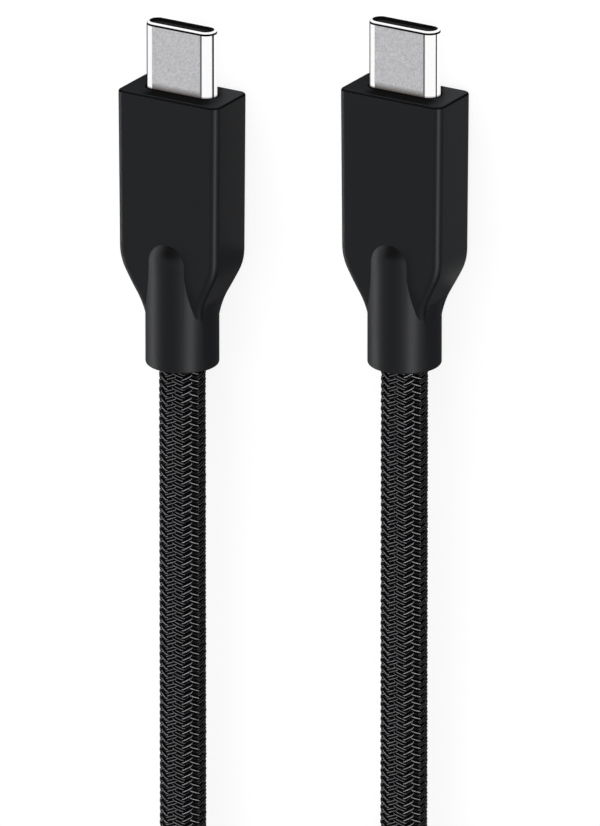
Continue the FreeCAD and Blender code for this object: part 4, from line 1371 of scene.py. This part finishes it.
@dataclass
class Cord:
    """The braided cord from one collar to the other.

    Attributes:
        finishes: Built materials, by finish name.
        coil: The coil of the length that is put away.
        diameter_mm: Diameter over the braid.
        core_mm: Diameter of the dull core that shows in the gaps of the braid.
        lead_in_mm: Distance from the last corner of a lead to the coil.
        left_exit_mm: Where it leaves the left collar.
        left_corners_mm: The left lead's further points.
        right_corners_mm: The right lead's points before its collar.
        right_exit_mm: Where it ends in the right collar.
        left_lead_mm: Length of the left lead's braid.
        right_lead_mm: Length of the right lead's braid.
        steps: Straight pieces between two points of the smooth line.
    """

    finishes: dict[str, Material]
    coil: Coil = field(default_factory=Coil)
    diameter_mm: float = 4.8
    core_mm: float = 4.36
    lead_in_mm: float = 7.2
    left_exit_mm: Point = (-13.6, -21.25, 3.9)
    left_corners_mm: tuple[Point, ...] = ((-13.6, -69.9, 3.9), (-13.6, -78.2, 3.9))
    right_corners_mm: tuple[Point, ...] = ((13.6, -78.6, 5.15), (13.6, -71.8, 3.9), (13.6, -64.9, 3.9))
    right_exit_mm: Point = (13.6, -16.25, 3.9)
    left_lead_mm: float = 72.0
    right_lead_mm: float = 77.5
    steps: int = 12

    def control_points(self) -> list[Vector]:
        """The route's points: a lead, the coil and the other lead.

        Returns:
            The points in metres.
        """
        coil = self.coil.points()
        turn_in = coil[0] - self.coil.way(0.0) * self.lead_in_mm
        turn_out = coil[-1] + self.coil.way(self.coil.turns) * self.lead_in_mm
        left = (self.left_exit_mm, *self.left_corners_mm, turn_in)
        right = (turn_out, *self.right_corners_mm, self.right_exit_mm)
        return [Vector(point) * MM for point in (*left, *coil, *right)]

    def make_path(self) -> Object:
        """Make the smooth line that the cord follows.

        Returns:
            A curve object with one spline.
        """
        points = self.control_points()
        data = bpy.data.curves.new("cord_core", "CURVE")
        data.dimensions = "3D"
        spline = data.splines.new("NURBS")
        spline.points.add(len(points) - 1)
        for place, point in zip(spline.points, points):
            place.co = (*point, 1.0)
        spline.order_u = 3
        spline.use_endpoint_u = True
        spline.resolution_u = self.steps
        path = bpy.data.objects.new("cord_core", data)
        bpy.context.scene.collection.objects.link(path)
        return path

    def measure(self, path: Object) -> float:
        """Measure the length of the line.

        Args:
            path: The curve object.

        Returns:
            Its length in metres.
        """
        bpy.context.view_layer.update()
        line = bpy.data.meshes.new_from_object(path)
        places = [vertex.co.copy() for vertex in line.vertices]
        bpy.data.meshes.remove(line)
        return sum((after - before).length for before, after in zip(places, places[1:]))

    def build(self) -> None:
        path = self.make_path()
        length = self.measure(path)
        log.info("cord: %.1f mm between the collars", length / MM)
        leads = (self.left_lead_mm * MM, self.right_lead_mm * MM)
        braid = Braid(self.finishes).build(path, length, leads)
        strap = Strap(self.finishes).build()
        path.data.bevel_depth = self.core_mm / 2 * MM
        path.data.bevel_resolution = 3
        path.data.use_fill_caps = True
        path.data.materials.append(self.finishes[UNDER_BRAID.name])
        settle(path, "braid", "left_cord", "right_cord", "cord_coil")
        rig.cord(
            path,
            exit=Vector(self.left_exit_mm) * MM,
            length=length,
            diameter=self.diameter_mm * MM,
            far_end="object",
            stiffness="medium",
            lay="coiled",
            with_pieces=[strap, *braid],
        )


@dataclass(frozen=True)
class Lamp:
    """One soft box.

    Attributes:
        name: The lamp's name.
        role: What the lamp does.
        towards: Direction from the plugs to the lamp.
        size: Width across the plugs and length along them.
        power: Its power in watts.
    """

    name: str
    role: Role
    towards: Point
    size: Span
    power: float


@dataclass(frozen=True)
class Felt:
    """Dark felt on the floor that shows only in gloss, as a dark outline.

    Attributes:
        name: The felt's name.
        across_mm: Where it begins and ends across the plugs.
        along_mm: Where it begins and ends along them.
        grey: How much it shows of its own, from 0 for black.
    """

    name: str
    across_mm: Span
    along_mm: Span
    grey: float


@dataclass
class Studio:
    """Camera, lamps, white surroundings and floor.

    Attributes:
        turn_degrees: How far the view is turned about the plugs' axis.
        raise_degrees: How far the view looks down on the plugs' tips.
        scale_px_per_mm: Picture elements per millimetre.
        lens_mm: A very long lens, because the view has almost no perspective.
        sensor_mm: Size of the camera's sensor.
        sight: How far the camera sees, as a multiple of its distance.
        picture_height_px: Height of the picture.
        middle_mm: How far the picture's middle lies right of the origin and above it.
        world_strength: Strength of the soft light from the surroundings.
        floor_reach: Half the side of the floor.
        floor_grey: Colour of the floor to surfaces, and to the eye before its glow is added.
        floor_glow: Strength of the floor's glow to the eye.
        lamp_reach: Distance of the lamps from the plugs.
        lamps: The soft boxes.
        felts: The felts on the floor.
        felt_height_mm: Height of the felts over the floor.
        card_towards: Direction from the plugs to the card over them.
        card_half: Half the card's width across the plugs and half its length along them.
        card_reach: Its distance from the plugs.
        card_grey: How much it shows of its own, from 0 for black.
        steel: The polished shells, which the strips leave out.
    """

    turn_degrees: float = 31.0
    raise_degrees: float = 20.0
    scale_px_per_mm: float = 9.54
    lens_mm: float = 1180.0
    sensor_mm: float = 36.0
    sight: float = 4.0
    picture_height_px: int = 826
    middle_mm: Span = (-1.295, -24.14)
    world_strength: float = 0.45
    floor_reach: float = 1.5
    floor_grey: Span = (0.8, 0.22)
    floor_glow: float = 0.83
    lamp_reach: float = 1.0
    lamps: tuple[Lamp, ...] = (
        Lamp("right_box", Role.FILL, (0.68, 0.2, 0.7), (0.8, 0.8), 4.4),
        Lamp("left_box", Role.FILL, (-0.5, -0.2, 0.84), (0.8, 0.8), 2.0),
        Lamp("front_box", Role.FILL, (-0.3, 0.95, 0.0), (0.8, 0.8), 26.0),
        Lamp("right_strip", Role.SHINE, (0.8, 0.1, 0.592), (0.28, 2.0), 100.0),
        Lamp("left_strip", Role.SHINE, (-0.956, 0.0, 0.292), (0.16, 1.6), 26.0),
    )
    felts: tuple[Felt, ...] = (
        Felt("back_felt", (-42.0, 42.0), (-80.0, -9.0), 0.3),
        Felt("left_felt", (-42.0, -11.0), (-9.0, 16.0), 0.01),
        Felt("middle_felt", (-3.0, 16.0), (-9.0, 21.0), 0.01),
        Felt("right_felt", (26.0, 42.0), (-9.0, 21.0), 0.01),
    )
    felt_height_mm: float = 0.1
    card_towards: Point = (-0.353, -0.335, 0.874)
    card_half: Span = (0.17, 0.6)
    card_reach: float = 0.9
    card_grey: float = 0.15
    steel: bpy.types.Collection | None = None

    def directions(self) -> tuple[Vector, Vector, Vector]:
        """The picture's own directions in the model.

        Returns:
            Right, up and towards the camera.
        """
        turn = math.radians(self.turn_degrees)
        rise = math.radians(self.raise_degrees)
        level = math.cos(rise)
        right = Vector((math.cos(turn), 0.0, -math.sin(turn)))
        towards = Vector((math.sin(turn) * level, math.sin(rise), math.cos(turn) * level))
        return right, towards.cross(right), towards

    def make_camera(self) -> None:
        """Stand the camera where the photograph was taken from."""
        right, up, towards = self.directions()
        view_height = self.picture_height_px / self.scale_px_per_mm * MM
        distance = view_height * self.lens_mm / self.sensor_mm
        middle_right, middle_up = self.middle_mm
        data = bpy.data.cameras.new("camera")
        data.lens = self.lens_mm
        data.sensor_width = self.sensor_mm
        data.clip_end = distance * self.sight
        camera = bpy.data.objects.new("camera", data)
        bpy.context.scene.collection.objects.link(camera)
        camera.location = (right * middle_right + up * middle_up) * MM + towards * distance
        camera.rotation_euler = Matrix((right, up, towards)).transposed().to_euler()
        bpy.context.scene.camera = camera

    def white_when_seen(
        self,
        tree: Tree,
        plain: Socket,
        white: Socket,
    ) -> Socket:
        """Show one shader to surfaces, and another to the eye, in gloss and through glass.

        Args:
            tree: The tree of the material or the world.
            plain: The shader for surfaces.
            white: The shader for the eye.

        Returns:
            The output with both.
        """
        ray = add_node(tree, "ShaderNodeLightPath")
        shown = ray["Is Camera Ray"]
        for kind in ("Is Glossy Ray", "Is Transmission Ray"):
            shown = add_node(tree, MATH, {0: shown, 1: ray[kind]}, operation="MAXIMUM")[0]
        return add_node(tree, "ShaderNodeMixShader", {0: shown, 1: plain, 2: white})[0]

    def make_world(self) -> None:
        """White surroundings to the eye and in reflections, and a soft grey light on surfaces."""
        world = bpy.data.worlds.new("surroundings")
        world.use_nodes = True
        tree = world.node_tree
        tree.nodes.clear()
        soft, white = (
            add_node(tree, "ShaderNodeBackground", {"Color": (1, 1, 1, 1), "Strength": strength})[0]
            for strength in (self.world_strength, 1.0)
        )
        add_node(tree, "ShaderNodeOutputWorld", {"Surface": self.white_when_seen(tree, soft, white)})
        bpy.context.scene.world = world

    def make_floor(self) -> None:
        """A pale floor that shows white and keeps the shadow."""
        reach = self.floor_reach
        floor = rectangle("floor", (-reach, reach), (-reach, reach))
        material = new_material("pale_floor")
        tree = material.node_tree
        pale, faint = (
            add_node(tree, "ShaderNodeBsdfDiffuse", {"Color": (grey, grey, grey, 1)})[0]
            for grey in self.floor_grey
        )
        glow = add_node(tree, "ShaderNodeEmission", {"Color": (1, 1, 1, 1), "Strength": self.floor_glow})[0]
        white = add_node(tree, "ShaderNodeAddShader", {0: faint, 1: glow})[0]
        add_node(tree, "ShaderNodeOutputMaterial", {"Surface": self.white_when_seen(tree, pale, white)})
        floor.data.materials.append(material)
        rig.stage(floor)

    def face_plugs(self, piece: Object, towards: Point, reach: float) -> None:
        """Stand a lamp or card so that it faces the plugs with one side along them.

        Args:
            piece: The lamp or card.
            towards: Direction from the plugs to it.
            reach: Its distance from the plugs.
        """
        out = Vector(towards).normalized()
        across = Vector((0.0, 1.0, 0.0)).cross(out).normalized()
        piece.rotation_euler = Matrix((across, out.cross(across), out)).transposed().to_euler()
        piece.location = out * reach

    def hang_lamp(self, lamp: Lamp) -> None:
        """Hang one soft box that shows either on surfaces or in gloss.

        Args:
            lamp: What it does and where it hangs.
        """
        data = bpy.data.lights.new(lamp.name, "AREA")
        data.shape = "RECTANGLE"
        data.size, data.size_y = lamp.size
        data.energy = lamp.power
        box = bpy.data.objects.new(lamp.name, data)
        bpy.context.scene.collection.objects.link(box)
        self.face_plugs(box, lamp.towards, self.lamp_reach)
        box.visible_diffuse = lamp.role is Role.FILL
        box.visible_glossy = lamp.role is Role.SHINE
        if lamp.role is Role.SHINE:
            box.light_linking.receiver_collection = self.steel

    def stand_card(self) -> None:
        """Stand the dark card that draws a dark line along the shells' round ends."""
        wide, long = self.card_half
        card = rectangle("top_card", (-wide, wide), (-long, long))
        self.face_plugs(card, self.card_towards, self.card_reach)
        self.show_in_gloss_only(card, self.card_grey)

    def lay_felt(self, felt: Felt) -> None:
        """Lay one felt on the floor.

        Args:
            felt: Where it lies and how dark it is.
        """
        across, along = (tuple(end * MM for end in span) for span in (felt.across_mm, felt.along_mm))
        cloth = rectangle(felt.name, across, along, self.felt_height_mm * MM)
        self.show_in_gloss_only(cloth, felt.grey)

    def show_in_gloss_only(self, card: Object, grey: float) -> None:
        """Give a card its dark face and keep it out of everything but gloss.

        Args:
            card: The card.
            grey: How much it shows of its own, from 0 for black.
        """
        material = new_material(card.name)
        tree = material.node_tree
        dark = add_node(tree, "ShaderNodeEmission", {"Color": (grey, grey, grey, 1)})[0]
        add_node(tree, "ShaderNodeOutputMaterial", {"Surface": dark})
        card.data.materials.append(material)
        card.visible_camera = False
        card.visible_diffuse = False
        card.visible_shadow = False
        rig.stage(card)

    def set_steel_apart(self) -> None:
        """Keep the strip lamps off the polished shells, which would blaze with them."""
        self.steel = bpy.data.collections.new("strips_leave_out")
        for side in Side:
            self.steel.objects.link(bpy.data.objects[f"{side.value}_steel_shell"])
        for member in self.steel.collection_objects:
            member.light_linking.link_state = "EXCLUDE"

    def build(self) -> None:
        """Set up the whole studio."""
        self.set_steel_apart()
        self.make_camera()
        self.make_world()
        self.make_floor()
        for lamp in self.lamps:
            self.hang_lamp(lamp)
        for felt in self.felts:
            self.lay_felt(felt)
        self.stand_card()
        bpy.context.scene.view_settings.view_transform = "Standard"


def main() -> None:
    """Build the cable around the construction model and report each piece."""
    logging.basicConfig(level=logging.INFO, format="%(name)s: %(message)s", stream=sys.stdout)
    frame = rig.load()
    cad_low, cad_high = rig.bounds()
    finishes = {
        finish.name: finish.build()
        for finish in list(globals().values())
        if isinstance(finish, (Finish, YarnFinish))
    }
    for side in Side:
        Plug(side, frame["nodes"], finishes).build()
    Cord(finishes).build()
    Studio().build()
    low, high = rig.bounds()
    sizes = {"cad": [list(cad_low), list(cad_high)], "visual": [list(low), list(high)]}
    with open(SIZE_FILE, "w") as out:
        json.dump(sizes, out)


if __name__ == "__main__":
    main()
